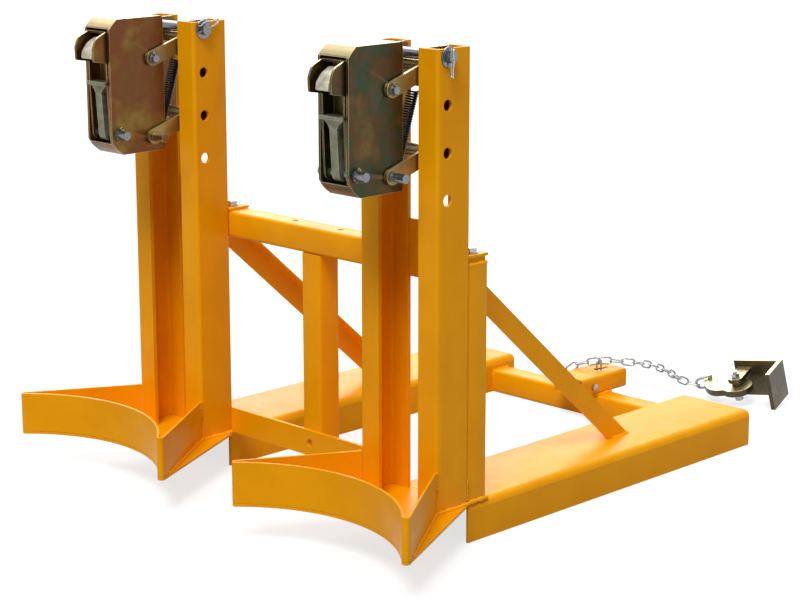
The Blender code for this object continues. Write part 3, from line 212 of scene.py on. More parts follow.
# %% [markdown]
# ## Finishes
#
# There are five finishes. Each starts from what the real one is and how it was put on, because that decides
# its metallic and roughness values and the size of its grain. Every pattern reads Object coordinates, which
# are metres here, so a noise scale of 1 / size makes features of that size. A grain that is too fine to
# show at the photograph's size is drawn as coarse as it needs to show.
#
# The finishes share a few patterns: a colour or a value that drifts from patch to patch, a fine relief, and
# another colour along the edges, which on the enamel and the chromate is a painted highlight. The edges are
# found by comparing the true normal with one that is rounded over the edge.

# %% Patterns shared by the finishes
NOISE_LOW, NOISE_HIGH = 0.3, 0.7  # most of a noise's values lie between these
MIX_A, MIX_B, MIX_RESULT = 6, 7, 2  # a Mix node's sockets when it mixes colours
EDGE_SAMPLES = 6


def grains(tree, size_mm, detail, distortion=0.0):
    """A noise from 0 to 1 whose features are about size_mm wide."""
    place = add(tree, "ShaderNodeTexCoord")
    noise = {
        "Vector": place.outputs["Object"],
        "Scale": 1 / (size_mm * MM),
        "Detail": detail,
        "Distortion": distortion,
    }
    return add(tree, "ShaderNodeTexNoise", noise).outputs["Fac"]


def drifting_colour(tree, size_mm, detail, stops, distortion=0.0):
    """A colour that drifts through (position, hex colour) stops over patches of size_mm."""
    fac = grains(tree, size_mm, detail, distortion)
    ramp = add(tree, "ShaderNodeValToRGB", {"Fac": fac})
    elements = ramp.color_ramp.elements
    while len(elements) < len(stops):
        elements.new(0.5)
    for element, (position, code) in zip(elements, stops):
        element.position = position
        element.color = colour(code)
    return ramp.outputs["Color"]


def drifting_value(tree, size_mm, detail, low, high, start=NOISE_LOW, distortion=0.0):
    """A value that drifts from low to high over patches of size_mm.

    It stays low where the noise is under start.
    """
    fac = grains(tree, size_mm, detail, distortion)
    span = {"Value": fac, "From Min": start, "From Max": NOISE_HIGH, "To Min": low, "To Max": high}
    return add(tree, "ShaderNodeMapRange", span).outputs["Result"]


def relief(tree, size_mm, detail, strength, depth_mm):
    """A normal that follows a grain of size_mm."""
    height = {"Height": grains(tree, size_mm, detail), "Strength": strength, "Distance": depth_mm * MM}
    return add(tree, "ShaderNodeBump", height).outputs["Normal"]


def with_edges(tree, base, edge, radius_mm, sharpness):
    """The base colour, with another one along the edges of a plate."""
    rounded = add(tree, "ShaderNodeBevel", {"Radius": radius_mm * MM}, samples=EDGE_SAMPLES)
    true = add(tree, "ShaderNodeNewGeometry")
    normals = {0: rounded.outputs[0], 1: true.outputs["True Normal"]}
    agreement = add(tree, "ShaderNodeVectorMath", normals, operation="DOT_PRODUCT")
    lean = add(tree, "ShaderNodeMath", {0: 1.0, 1: agreement.outputs["Value"]}, operation="SUBTRACT")
    scaled = {0: lean.outputs[0], 1: sharpness}
    mask = add(tree, "ShaderNodeMath", scaled, operation="MULTIPLY", use_clamp=True)
    edged = {"Factor": mask.outputs[0], MIX_A: base, MIX_B: colour(edge)}
    return add(tree, "ShaderNodeMix", edged, data_type="RGBA").outputs[MIX_RESULT]


def close_material(material, look):
    """Ends a material's tree in one Principled surface with the given look."""
    surface = add(material.node_tree, "ShaderNodeBsdfPrincipled", look)
    add(material.node_tree, "ShaderNodeOutputMaterial", {"Surface": surface.outputs[0]})
    print("finish:", material.name, "with", len(material.node_tree.nodes), "nodes")
    return material


# %% [markdown]
# ### Golden-yellow enamel
#
# The frame is sprayed with a two-part enamel over welded steel. It is a dielectric with a smooth surface:
# roughness near 0.37 and a fine orange peel of about 3 mm. In the soft studio light its faces show hardly
# any shine, so the specular level is low and the pigment keeps its depth. The film is a little thicker and
# deeper in colour where the spray overlapped, which shows as soft clouds some 100 mm wide. Along each edge
# a
# paler yellow is painted in: a painted highlight.

# %% Golden-yellow enamel
ENAMEL_CLOUDS = ((0.3, "EE9D01"), (0.7, "F7A703"))
# A paler yellow painted along the edges as a highlight
ENAMEL_EDGE_HIGHLIGHT = "FFC83C"


def golden_enamel():
    """Sprayed enamel with soft clouds, orange peel and a painted highlight along the edges."""
    material = new_material("golden_yellow_enamel")
    tree = material.node_tree
    clouds = drifting_colour(tree, size_mm=110.0, detail=3.0, stops=ENAMEL_CLOUDS)
    look = {
        # the edges get a painted highlight
        "Base Color": with_edges(tree, clouds, ENAMEL_EDGE_HIGHLIGHT, radius_mm=1.6, sharpness=2.0),
        "Roughness": drifting_value(tree, size_mm=30.0, detail=2.0, low=0.32, high=0.42),
        "Normal": relief(tree, size_mm=3.0, detail=1.0, strength=0.1, depth_mm=0.1),
        "Specular IOR Level": 0.09,
    }
    return close_material(material, look)


enamel = golden_enamel()

# %% [markdown]
# ### Yellow-chromated zinc
#
# The heads, links, hook and bracket are zinc plated and passivated in chromate. The film is thin enough to
# show interference colours, so an olive brown drifts into red brown, green and straw in patches of 20 to
# 60 mm. It is a metal under a clear film, so metallic is high and a thin coat lies over it. A pale gold is
# painted along the sharp edges as a highlight, and faces that look up are painted paler, a painted sheen of
# the light from above. The sheet's own grain is drawn 1.6 mm wide so that it shows.
#
# Each batch comes out of the bath in its own shade. The right head is olive with a trace of blue-green. The
# left head and both carriages are a warmer red brown, the links are a paler straw, and the hook and its
# bracket are greyer.

# %% Yellow-chromated zinc
# A paler colour painted on faces that look up, as a sheen of the light from above
PAINTED_TOP_SHEEN = "CDBE8A"
# A pale gold painted along the sharp edges as a highlight
CHROMATE_EDGE_HIGHLIGHT = "DCC88E"
# The film's shades from thin to thick, each with its place on the noise
OLIVE = ((0.32, "5E4A20"), (0.42, "4A3D1B"), (0.5, "383718"), (0.57, "2D3C20"), (0.66, "2A4036"))
WARM = ((0.32, "7C6426"), (0.44, "6E4C1C"), (0.54, "684018"), (0.66, "66481F"))
STRAW = ((0.32, "A8965E"), (0.5, "8E7C4A"), (0.66, "7C7550"))
GREY_OLIVE = ((0.32, "5C523C"), (0.5, "483F2E"), (0.66, "403E32"))


def chromated_zinc(batch, film, blush, blush_amount):
    """One batch of plating, with the shades of its film and a blush of another colour in some patches."""
    material = new_material(f"yellow_chromated_zinc_{batch}")
    tree = material.node_tree
    base = drifting_colour(tree, size_mm=60.0, detail=3.0, stops=film, distortion=0.3)
    amount = drifting_value(
        tree, size_mm=38.0, detail=4.0, low=0.0, high=blush_amount, start=0.46, distortion=0.5
    )
    tint = {"Factor": amount, MIX_A: base, MIX_B: colour(blush)}
    tinted = add(tree, "ShaderNodeMix", tint, data_type="RGBA").outputs[MIX_RESULT]
    # Faces that look up are drawn towards a paler colour: a painted sheen.
    normal = add(tree, "ShaderNodeNewGeometry")
    facing = add(tree, "ShaderNodeSeparateXYZ", {0: normal.outputs["Normal"]})
    upward = {"Value": facing.outputs["Z"], "From Min": 0.3, "From Max": 0.9, "To Min": 0.0, "To Max": 0.75}
    top_sheen_share = add(tree, "ShaderNodeMapRange", upward).outputs["Result"]
    pale = {"Factor": top_sheen_share, MIX_A: tinted, MIX_B: colour(PAINTED_TOP_SHEEN)}
    sheened_base = add(tree, "ShaderNodeMix", pale, data_type="RGBA").outputs[MIX_RESULT]
    look = {
        # the sharp edges get a painted highlight
        "Base Color": with_edges(tree, sheened_base, CHROMATE_EDGE_HIGHLIGHT, radius_mm=1.4, sharpness=3.0),
        "Metallic": 0.85,
        "Roughness": drifting_value(tree, size_mm=9.0, detail=3.0, low=0.34, high=0.44),
        "Normal": relief(tree, size_mm=1.6, detail=2.0, strength=0.08, depth_mm=0.04),
        "Coat Weight": 0.18,
        "Coat Roughness": 0.25,
    }
    return close_material(material, look)


olive_chromate = chromated_zinc("olive", OLIVE, "5C3016", 0.75)
warm_chromate = chromated_zinc("warm", WARM, "70341C", 0.5)
straw_chromate = chromated_zinc("straw", STRAW, "76582E", 0.4)
grey_chromate = chromated_zinc("grey", GREY_OLIVE, "5E4030", 0.4)

# %% [markdown]
# ### Castings, zinc plate and spring steel
#
# Claw and jaw are sand castings with a grain of about 1 mm. The claw is tumbled, which leaves it a pale
# grey with a cream tint. The jaw stays as it was cast, darker and a little green. Bolts, chain and spring
# clips are bright zinc, a pale metal with a soft mottle. The mottle of the real plate is too fine to show,
# so it is drawn 5 mm wide. The working pins and their washers are zinc that has dulled, and the springs
# are oil-blackened.


# %% Castings, zinc plate and spring steel
def cast_steel(name, dark, light, edge):
    """A sand casting with paler edges."""
    material = new_material(name)
    tree = material.node_tree
    base = drifting_colour(tree, size_mm=14.0, detail=3.0, stops=((0.3, dark), (0.7, light)))
    look = {
        "Base Color": with_edges(tree, base, edge, radius_mm=2.0, sharpness=3.0),
        "Metallic": 0.4,
        "Roughness": drifting_value(tree, size_mm=1.1, detail=3.0, low=0.42, high=0.6),
        "Normal": relief(tree, size_mm=1.1, detail=3.0, strength=0.3, depth_mm=0.12),
    }
    return close_material(material, look)


def zinc_plate(name, dark, light):
    """Zinc plate with a soft mottle."""
    material = new_material(name)
    tree = material.node_tree
    look = {
        "Base Color": drifting_colour(tree, size_mm=5.0, detail=2.0, stops=((0.35, dark), (0.65, light))),
        "Metallic": 0.92,
        "Roughness": drifting_value(tree, size_mm=5.0, detail=2.0, low=0.26, high=0.3),
    }
    return close_material(material, look)


def black_spring_steel():
    """Spring wire under a thin black oil, a little worn."""
    material = new_material("black_oiled_spring_steel")
    tree = material.node_tree
    wear = ((0.35, "0E0E10"), (0.75, "26262A"))
    look = {
        "Base Color": drifting_colour(tree, size_mm=3.0, detail=2.0, stops=wear),
        "Metallic": 0.5,
        "Roughness": drifting_value(tree, size_mm=3.0, detail=2.0, low=0.32, high=0.5),
    }
    return close_material(material, look)


tumbled_casting = cast_steel("cast_steel_tumbled", "A9A48E", "DCD5C0", "F2ECDA")
jaw_casting = cast_steel("cast_steel_as_cast", "68684F", "8C8B76", "B5B09A")
bright_zinc = zinc_plate("bright_zinc_plate", "A4A7AB", "B2B5B9")
dull_zinc = zinc_plate("dull_zinc_plate", "787B80", "85888C")
spring_steel = black_spring_steel()

# %% [markdown]
# ### Which piece gets which finish
#
# The CAD record gives each node a slot, such as enamel or zinc, and each slot has a finish. Some pieces of
# the real lifter come from another batch or have dulled, so they are listed with a shade of their own.

# %% The finish of each piece
FINISHES = {
    "enamel": enamel,
    "chromate": olive_chromate,
    "casting": tumbled_casting,
    "zinc": bright_zinc,
    "spring_black": spring_steel,
}
# Pieces whose shade differs from their finish's usual one
SHADES = {
    "left_head_casing": warm_chromate,
    "left_beak_lever": warm_chromate,
    "hook_plate": grey_chromate,
    "truck_bracket": grey_chromate,
    "left_lower_jaw": jaw_casting,
    "right_lower_jaw": jaw_casting,
}
for prefix, _ in SIDES:
    SHADES[f"{prefix}_upper_link"] = straw_chromate
    SHADES[f"{prefix}_lower_link"] = straw_chromate
    SHADES[f"{prefix}_carriage"] = warm_chromate
    for label in ("adjusting_pin", "pin_washer", "jaw_pin", "upper_link_pin", "lower_link_pin"):
        SHADES[f"{prefix}_{label}"] = dull_zinc
SHADES["left_lower_link_pin"] = warm_chromate
print("finishes:", len(FINISHES), "pieces in a shade of their own:", len(SHADES))

# %% [markdown]
# ## Plates and tubes with broken edges
#
# The CAD solids have knife-sharp edges. Real plates are sheared or sawn and then painted, so each edge
# carries a radius of about a millimetre that catches the light. A bevel that takes only the edges over 32
# degrees gives that. The CAD mesh itself is never changed: a merged copy gets the bevel and replaces the
# node.
#
# Every finished piece is a plain mesh at the origin with one finish. All but the springs' coils ride on a
# body of the part, so that they move when the part's joints do.

# %% Helpers that settle and dress a piece
RECORD = frame["record"]
SLOT_OF = {part["node"]: part["material_slot"] for part in RECORD["subparts"]}
BODY_OF = {node: body for body, nodes in RECORD["behaviour"]["bodies"].items() for node in nodes}


def settled(obj, name):
    """The object's evaluated mesh as a plain object at the origin; the working object is removed."""
    graph = bpy.context.evaluated_depsgraph_get()
    mesh = bpy.data.meshes.new_from_object(obj.evaluated_get(graph))
    mesh.transform(obj.matrix_world)
    mesh.name = name
    bpy.data.objects.remove(obj, do_unlink=True)
    made = bpy.data.objects.new(name, mesh)
    bpy.context.scene.collection.objects.link(made)
    return made


def dress(piece, body, slot=None, node=None, bends=None):
    """Gives a piece its finish and, unless it bends, its body, and hides the CAD node that it stands for,
    if any.

    A piece that is given bends, a second body and two points, is baked where it stands and rides on no
    body.
    """
    slot = slot or SLOT_OF[node]
    piece.data.materials.clear()
    piece.data.materials.append(SHADES.get(node, FINISHES[slot]))
    for face in piece.data.polygons:
        face.material_index = 0
    if bends:
        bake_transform(piece)
    else:
        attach(piece, body)
    if node:
        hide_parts(node)
    return piece


print("slots in use:", ", ".join(sorted(set(SLOT_OF.values()))))

# %% [markdown]
# ### The casings' front bends
#
# The drawing rolls the two front bends of a head's casing. On the real one each is flatter, close to two
# folds of 45 degrees with a narrow strip between them. So each point of the bend is drawn most of the way
# in to the bend's chord.

# %% The casings' front bends
# Centre in Y and Z, whether the bend is above or below it, and how near it is drawn to its chord
BENDS = ((-131.0, 865.0, 1, 0.9), (-123.0, 660.0, -1, 0.7))
HALF_BEND = math.pi / 4


def flatten_bends(shape):
    """Draws a casing's two front bends in towards their chords."""
    for vert in shape.verts:
        for y, z, way, flatness in BENDS:
            centre = at(0.0, y, z)
            out = centre.y - vert.co.y
            rise = (vert.co.z - centre.z) * way
            if out > 0 and rise > 0:
                chord = math.cos(HALF_BEND) / math.cos(math.atan2(rise, out) - HALF_BEND)
                drawn = 1 - flatness * (1 - chord)
                vert.co.y = centre.y - out * drawn
                vert.co.z = centre.z + rise * way * drawn


print("bends of each casing:", len(BENDS))

# %% Every CAD node as a piece with broken edges
BREAK_ANGLE = math.radians(32)
FLAT_ANGLE = math.radians(0.6)  # faces that meet at less than this become one
MERGE_GAP = 2e-6  # metres
EDGE_STEPS = 2
EDGE_WIDTHS = {"enamel": 0.9, "chromate": 0.8, "casting": 1.6, "zinc": 0.5}  # mm
REMADE = {"safety_chain", "left_lift_spring", "right_lift_spring"}


def broken_edges(node, width_mm):
    """A copy of a CAD node, merged, with its sharp edges rounded by a bevel."""
    mesh = bpy.data.meshes.new(f"{node}_shell")
    shape = bmesh.new()
    shape.from_mesh(frame["nodes"][node].data)
    if node.endswith("head_casing"):
        flatten_bends(shape)
    bmesh.ops.remove_doubles(shape, verts=shape.verts, dist=MERGE_GAP)
    bmesh.ops.dissolve_limit(
        shape, angle_limit=FLAT_ANGLE, verts=shape.verts, edges=shape.edges, delimit={"NORMAL"}
    )
    shape.to_mesh(mesh)
    shape.free()
    mesh.shade_smooth()
    mesh.set_sharp_from_angle(angle=BREAK_ANGLE)
    work = bpy.data.objects.new(f"{node}_work", mesh)
    bpy.context.scene.collection.objects.link(work)
    soft = work.modifiers.new("broken_edges", "BEVEL")
    soft.width = width_mm * MM
    soft.segments = EDGE_STEPS
    soft.limit_method = "ANGLE"
    soft.angle_limit = BREAK_ANGLE
    soft.use_clamp_overlap = True
    soft.miter_outer = "MITER_ARC"
    soft.harden_normals = True
    return settled(work, f"{node}_shell")


bevelled = 0
for node in sorted(frame["nodes"]):
    if node in REMADE:
        continue
    shell = broken_edges(node, EDGE_WIDTHS[SLOT_OF[node]])
    dress(shell, BODY_OF[node], node=node)
    bevelled += 1
print("pieces with broken edges:", bevelled)

# %% [markdown]
# ## Shapes that follow a path
#
# Spring clips, split pins, weld beads, the springs and the chain all follow a path. Geometry Nodes do that
# well: a tree takes the points of the path, turns them into a curve and sweeps or repeats something along
# it. The result is made a plain mesh with its modifiers applied.


# %% Helpers for Geometry Nodes
def new_tree(name, **sizes):
    """An empty tree with a Geometry input and output, and one named number input for each size."""
    tree = bpy.data.node_groups.new(name, "GeometryNodeTree")
    tree.interface.new_socket("Geometry", in_out="INPUT", socket_type="NodeSocketGeometry")
    for label, value in sizes.items():
        socket = tree.interface.new_socket(label, in_out="INPUT", socket_type="NodeSocketFloat")
        socket.default_value = value
    tree.interface.new_socket("Geometry", in_out="OUTPUT", socket_type="NodeSocketGeometry")
    entry = add(tree, "NodeGroupInput")
    return tree, entry.outputs


def close_tree(tree, shape, material):
    """Ends a tree in Realize Instances and Set Material."""
    real = add(tree, "GeometryNodeRealizeInstances", {"Geometry": shape})
    smooth = add(tree, "GeometryNodeSetShadeSmooth", {"Geometry": real.outputs[0], "Shade Smooth": True})
    painted = {"Geometry": smooth.outputs[0], "Material": material}
    set_material = add(tree, "GeometryNodeSetMaterial", painted)
    add(tree, "NodeGroupOutput", {"Geometry": set_material.outputs[0]})
    print("tree:", tree.name, "with", len(tree.nodes), "nodes")
    return tree


def grow(name, tree, points, edges=(), attributes=None, **sizes):
    """Runs a tree on a few points and keeps the result as a plain mesh."""
    mesh = bpy.data.meshes.new(name)
    mesh.from_pydata([tuple(p) for p in points], list(edges), [])
    for label, values in (attributes or {}).items():
        held = mesh.attributes.new(label, "FLOAT_VECTOR", "POINT")
        held.data.foreach_set("vector", [c for v in values for c in v])
    work = bpy.data.objects.new(f"{name}_work", mesh)
    bpy.context.scene.collection.objects.link(work)
    modifier = work.modifiers.new("grow", "NODES")
    modifier.node_group = tree
    for item in tree.interface.items_tree:
        if item.in_out == "INPUT" and item.name in sizes:
            modifier[item.identifier] = float(sizes[item.name])
    return settled(work, name)


def path_edges(points):
    """The edges that join a path's points in their order."""
    return [(i, i + 1) for i in range(len(points) - 1)]


# %% [markdown]
# ### Spring clips and split pins
#
# A spring clip keeps each adjusting pin in its hole. One straight leg goes through the pin, the other
# springs over it, and both meet in a loop. It is bent from 2.7 mm wire, so a swept curve is the natural way
# to draw it.
#
# Thin split pins keep the jaw pins and the upper link pins. Each has an eye above its pin and two legs bent
# apart below, so it is drawn as two wires that lie side by side through the pin.

# %% Wire tree
PATH_STEPS = 8  # points of the smooth curve for each point that is given
WIRE_SIDES = 10


def wire_tree():
    """A round wire swept along a path."""
    tree, entry = new_tree("wire", Radius=0.001)
    curve = add(tree, "GeometryNodeMeshToCurve", {"Mesh": entry["Geometry"]})
    circle = {"Resolution": WIRE_SIDES, "Radius": entry["Radius"]}
    ring = add(tree, "GeometryNodeCurvePrimitiveCircle", circle)
    sweep = {"Curve": curve.outputs[0], "Profile Curve": ring.outputs[0], "Fill Caps": True}
    swept = add(tree, "GeometryNodeCurveToMesh", sweep)
    return close_tree(tree, swept.outputs[0], bright_zinc)


WIRE_TREE = wire_tree()


def smooth_path(points):
    """A smooth curve through a few points."""
    padded = [points[0], *points, points[-1]]
    curve = []
    for i in range(1, len(padded) - 2):
        p0, p1, p2, p3 = padded[i - 1 : i + 3]
        for k in range(PATH_STEPS):
            t = k / PATH_STEPS
            middle = (p2 - p0) * t + (2 * p0 - 5 * p1 + 4 * p2 - p3) * t * t
            curve.append(0.5 * (2 * p1 + middle + (3 * p1 - p0 - 3 * p2 + p3) * t**3))
    curve.append(padded[-1])
    return curve


def wire(name, points, radius_mm, body, slot):
    """A bent wire through points in the CAD frame."""
    path = smooth_path(points)
    piece = grow(name, WIRE_TREE, path, path_edges(path), Radius=radius_mm * MM)
    return dress(piece, body, slot)


# %% Spring clips on the adjusting pins
PIN_Y, PIN_Z = 24.0, 858.0  # the adjusting pins' axis
SEAT_GAP = 0.3
WASHER = 2.5
CLIP_STANDOFF = 4.0  # of the clip's hole from the washer
CLIP_X = MAST_HALF + SEAT_GAP + WASHER + CLIP_STANDOFF
CLIP_WIRE = 1.35  # radius
CLIP_TURNS = (105, 0)  # degrees about the pin, left and right
CLIP_TWISTS = (0, 118)  # degrees about the straight leg, left and right
# Sideways from the straight leg, and along it
CLIP_LINE = (
    (0, 15), (0, 6), (0, -6), (0, -15), (1, -26), (4, -33), (8, -34),
    (10, -29), (9, -20), (12, -11), (13, -2), (10, 8), (12, 14),
)


def spring_clip(prefix, centre, turn, twist):
    """The clip, turned about the pin's axis and twisted about its own straight leg."""
    points = []
    for side, along in CLIP_LINE:
        out = side * math.sin(twist)
        flat = side * math.cos(twist)
        y = flat * math.cos(turn) - along * math.sin(turn)
        z = flat * math.sin(turn) + along * math.cos(turn)
        points.append(at(centre + CLIP_X + out, PIN_Y + y, PIN_Z + z))
    return wire(f"{prefix}_spring_clip", points, CLIP_WIRE, f"{prefix}_pin", "zinc")


for (prefix, centre), turn, twist in zip(SIDES, CLIP_TURNS, CLIP_TWISTS):
    spring_clip(prefix, centre, math.radians(turn), math.radians(twist))
print("spring clips:", len(SIDES))

# %% Split pins on the jaw pins and the upper link pins
SPLIT_WIRE = 1.0  # radius
SPLIT_HALF = 0.7  # from the pin's middle to each leg where they lie side by side
SPLIT_EYE = ((0.2, 6.0), (3.0, 3.5), (SPLIT_HALF, 0.0))  # sideways, and up from the pin's top
SPLIT_LEG = ((SPLIT_HALF, 0.0), (3.0, -2.5), (7.0, -3.0))  # sideways, and up from the pin's underside
# Name, place of the split pin and the radius of the pin it goes through
SPLIT_PINS = (
    ("jaw_split_pin", (42.5, -131.0, 672.0), 8.0),
    ("link_split_pin", (50.0, -56.0, 807.0), 5.5),
)


def split_pin(name, place, radius, body):
    """A split pin through a pin's end, its eye on top and its legs bent apart below."""
    x, y, z = place
    line = [(out, z + radius + up) for out, up in SPLIT_EYE]
    line.append((SPLIT_HALF, z))
    line += [(out, z - radius + up) for out, up in SPLIT_LEG]
    for hand, leg in ((-1, "front"), (1, "back")):
        points = [at(x, y + hand * out, height) for out, height in line]
        wire(f"{name}_{leg}", points, SPLIT_WIRE, body, "chromate")


for prefix, centre in SIDES:
    for label, (x, y, z), radius in SPLIT_PINS:
        split_pin(f"{prefix}_{label}", (centre + x, y, z), radius, f"{prefix}_head")
print("split pins:", len(SPLIT_PINS) * len(SIDES))

# %% [markdown]
# ### Lift springs
#
# Each head is carried by a tension spring wound from 3.2 mm wire with its coils almost closed. A spiral
# curve gives the coils; the pitch is 4.3 mm because the head's weight has drawn them a little apart. The
# spring's top sits in the upper link and its foot in the head. The coils are baked where they stand, and
# dress is also given the head and the point a third of the way down the spring.

# %% Spring tree
SPRING_WIRE = 1.6  # radius
SPRING_RADIUS = 8.7
SPRING_PITCH = 4.3
COIL_STEPS = 18
COIL_WIRE_SIDES = 8


def spring_tree():
    """Coils that rise along Z, with the wire swept round them."""
    tree, entry = new_tree("closed_coils", Turns=30.0, Length=0.13)
    spiral = {
        "Resolution": COIL_STEPS,
        "Rotations": entry["Turns"],
        "Start Radius": SPRING_RADIUS * MM,
        "End Radius": SPRING_RADIUS * MM,
        "Height": entry["Length"],
    }
    coil = add(tree, "GeometryNodeCurveSpiral", spiral)
    circle = {"Resolution": COIL_WIRE_SIDES, "Radius": SPRING_WIRE * MM}
    ring = add(tree, "GeometryNodeCurvePrimitiveCircle", circle)
    sweep = {"Curve": coil.outputs[0], "Profile Curve": ring.outputs[0], "Fill Caps": True}
    swept = add(tree, "GeometryNodeCurveToMesh", sweep)
    return close_tree(tree, swept.outputs[0], spring_steel)


SPRING_TREE = spring_tree()

# %% Lift springs and their hooks
SPRING_X = 20.0  # from the mast's centre line
SPRING_TOP = (17.0, 800.0)  # Y and Z of the end that the upper link holds
SPRING_FOOT = (-33.0, 652.0)  # Y and Z of the end in the head
SPRING_HOOK = 3.0  # how far inside each end the coils start
SPRING_GIVE = 0.35  # share of the length, from the top, to the second point that dress is given
# Along the spring from its end, and sideways
HOOK_LINE = ((-4, 8.8), (2, 7), (6, 3), (10, 0), (14, -2), (18, 0), (19, 4), (16, 7))
UP = Vector((0, 0, 1))
RIGHT = Vector((1, 0, 0))

for prefix, centre in SIDES:
    top = at(centre + SPRING_X, *SPRING_TOP)
    foot = at(centre + SPRING_X, *SPRING_FOOT)
    along = (top - foot).normalized()
    length = (top - foot).length - 2 * SPRING_HOOK * MM
    turns = length / (SPRING_PITCH * MM)
    coils = grow(f"{prefix}_spring_coils", SPRING_TREE, [foot], Turns=turns, Length=length)
    turn = UP.rotation_difference(along).to_matrix().to_4x4()
    coils.data.transform(Matrix.Translation(foot + along * SPRING_HOOK * MM) @ turn)
    bends = (f"{prefix}_head", top, top.lerp(foot, SPRING_GIVE))
    dress(coils, f"{prefix}_upper_link", node=f"{prefix}_lift_spring", bends=bends)
    back = RIGHT.cross(along)
    for end, way, body in ((top, 1, "upper_link"), (foot, -1, "head")):
        line = [end + MM * (way * along * a + back * b) for a, b in HOOK_LINE]
        wire(f"{prefix}_spring_hook_{body}", line, SPRING_WIRE, f"{prefix}_{body}", "spring_black")
    print(coils.name, len(coils.data.polygons), "faces")

# %% [markdown]
# ### Safety chain
#
# The chain is short-link, bright zinc, 4.4 mm wire. Each link is an oval of wire turned a quarter turn
# against the one before it, so it is an obvious case for instances: points with an angle each, and one link
# repeated. The chain lies loose, so its joints are a list of given points, one link's pitch apart.

# %% Chain tree
CHAIN_WIRE = 2.2  # radius
CHAIN_WIRE_SIDES = 10
LINK_STEPS = 36


def chain_tree():
    """One oval link, repeated on each point with the turn that the point carries."""
    tree, entry = new_tree("short_link_chain", Straight=0.01, Half_Width=0.006)
    circle = {"Resolution": LINK_STEPS, "Radius": entry["Half_Width"]}
    oval = add(tree, "GeometryNodeCurvePrimitiveCircle", circle)
    where = add(tree, "GeometryNodeInputPosition")
    apart = add(tree, "ShaderNodeSeparateXYZ", {0: where.outputs[0]})
    side = add(tree, "ShaderNodeMath", {0: apart.outputs["X"]}, operation="SIGN")
    shift = add(tree, "ShaderNodeMath", {0: side.outputs[0], 1: entry["Straight"]}, operation="MULTIPLY")
    offset = add(tree, "ShaderNodeCombineXYZ", {"X": shift.outputs[0]})
    stretch = {"Geometry": oval.outputs[0], "Offset": offset.outputs[0]}
    link = add(tree, "GeometryNodeSetPosition", stretch)
    thick = {"Resolution": CHAIN_WIRE_SIDES, "Radius": CHAIN_WIRE * MM}
    ring = add(tree, "GeometryNodeCurvePrimitiveCircle", thick)
    sweep = {"Curve": link.outputs[0], "Profile Curve": ring.outputs[0]}
    swept = add(tree, "GeometryNodeCurveToMesh", sweep)
    spin = add(tree, "GeometryNodeInputNamedAttribute", {"Name": "spin"}, data_type="FLOAT_VECTOR")
    turned = add(tree, "FunctionNodeEulerToRotation", {0: spin.outputs[0]})
    row = {"Points": entry["Geometry"], "Instance": swept.outputs[0], "Rotation": turned.outputs[0]}
    links = add(tree, "GeometryNodeInstanceOnPoints", row)
    return close_tree(tree, links.outputs[0], bright_zinc)


# %% Links along the chain's route
LINK_PITCH = 25.0
LINK_INNER_WIDTH = 9.5
LINK_END = 1.65  # how far a link's wire centre lies beyond the joint of two links
UPRIGHT = 0.01  # a link that leans less than this stands upright
KEYHOLE = (28.0, 892.0, 109.5)
TO_THE_SHACKLE = (
    KEYHOLE, (44.1, 911.1, 108.7), (62.0, 928.5, 107.1), (79.8, 945.8, 104.0),
    (84.9, 969.6, 98.4), (86.4, 993.5, 91.2), (86.3, 1017.0, 82.6), (85.5, 1039.8, 72.5),
    (84.4, 1062.1, 61.3), (82.4, 1084.2, 49.7), (78.1, 1105.5, 37.3), (86.4, 1126.4, 26.5),
    (108.1, 1138.7, 23.3),
)
SLACK_END = (KEYHOLE, (5.1, 882.5, 103.3), (-17.1, 871.5, 97.4), (-34.4, 862.8, 80.9))
IN_THE_TUBE = ((28.0, 892.0, 58.5), (28.0, 892.0, 84.0), KEYHOLE)
# Whether the first link of a run lies flat (0) or on its side (1), and the run's joints
CHAIN_RUNS = ((1, TO_THE_SHACKLE), (1, SLACK_END), (0, IN_THE_TUBE))


def link_spin(start, end, quarter):
    """The turn that lays a link drawn along X between two joints."""
    along = (end - start).normalized()
    level = UP.cross(along)
    level = level.normalized() if level.length > UPRIGHT else RIGHT
    wide = level if quarter == 0 else along.cross(level)
    basis = Matrix((along, wide, along.cross(wide))).transposed()
    return basis.to_euler("XYZ")


middles = []
spins = []
for first, run in CHAIN_RUNS:
    joints = [at(*p) for p in run]
    for k, (start, end) in enumerate(zip(joints, joints[1:])):
        middles.append((start + end) / 2)
        spins.append(link_spin(start, end, (first + k) % 2))
half_width = (LINK_INNER_WIDTH / 2 + CHAIN_WIRE) * MM
link_sizes = {"Half_Width": half_width, "Straight": (LINK_PITCH / 2 + LINK_END) * MM - half_width}
chain = grow("safety_chain_links", chain_tree(), middles, attributes={"spin": spins}, **link_sizes)
dress(chain, "chain", node="safety_chain")
print("chain links:", len(middles))

# %% [markdown]
# ### Weld beads
#
# The frame is MIG welded and painted over. A bead is a row of small overlapping pools, each pushed a little
# way along the seam. Flattened balls at 3.6 mm steps along a path give that look, and a random value with a
# fixed seed varies their size.

# %% Bead tree
BEAD_STEP = 3.6
POOL_SIDES = 12
POOL_RINGS = 8
POOL_FLATNESS = 0.75
POOL_SMALLEST, POOL_LARGEST = 0.72, 1.2  # shares of the bead's size
POOL_SEED = 4
RANDOM_MIN, RANDOM_MAX, RANDOM_VALUE = 2, 3, 1  # a Random Value node's sockets when it draws a number


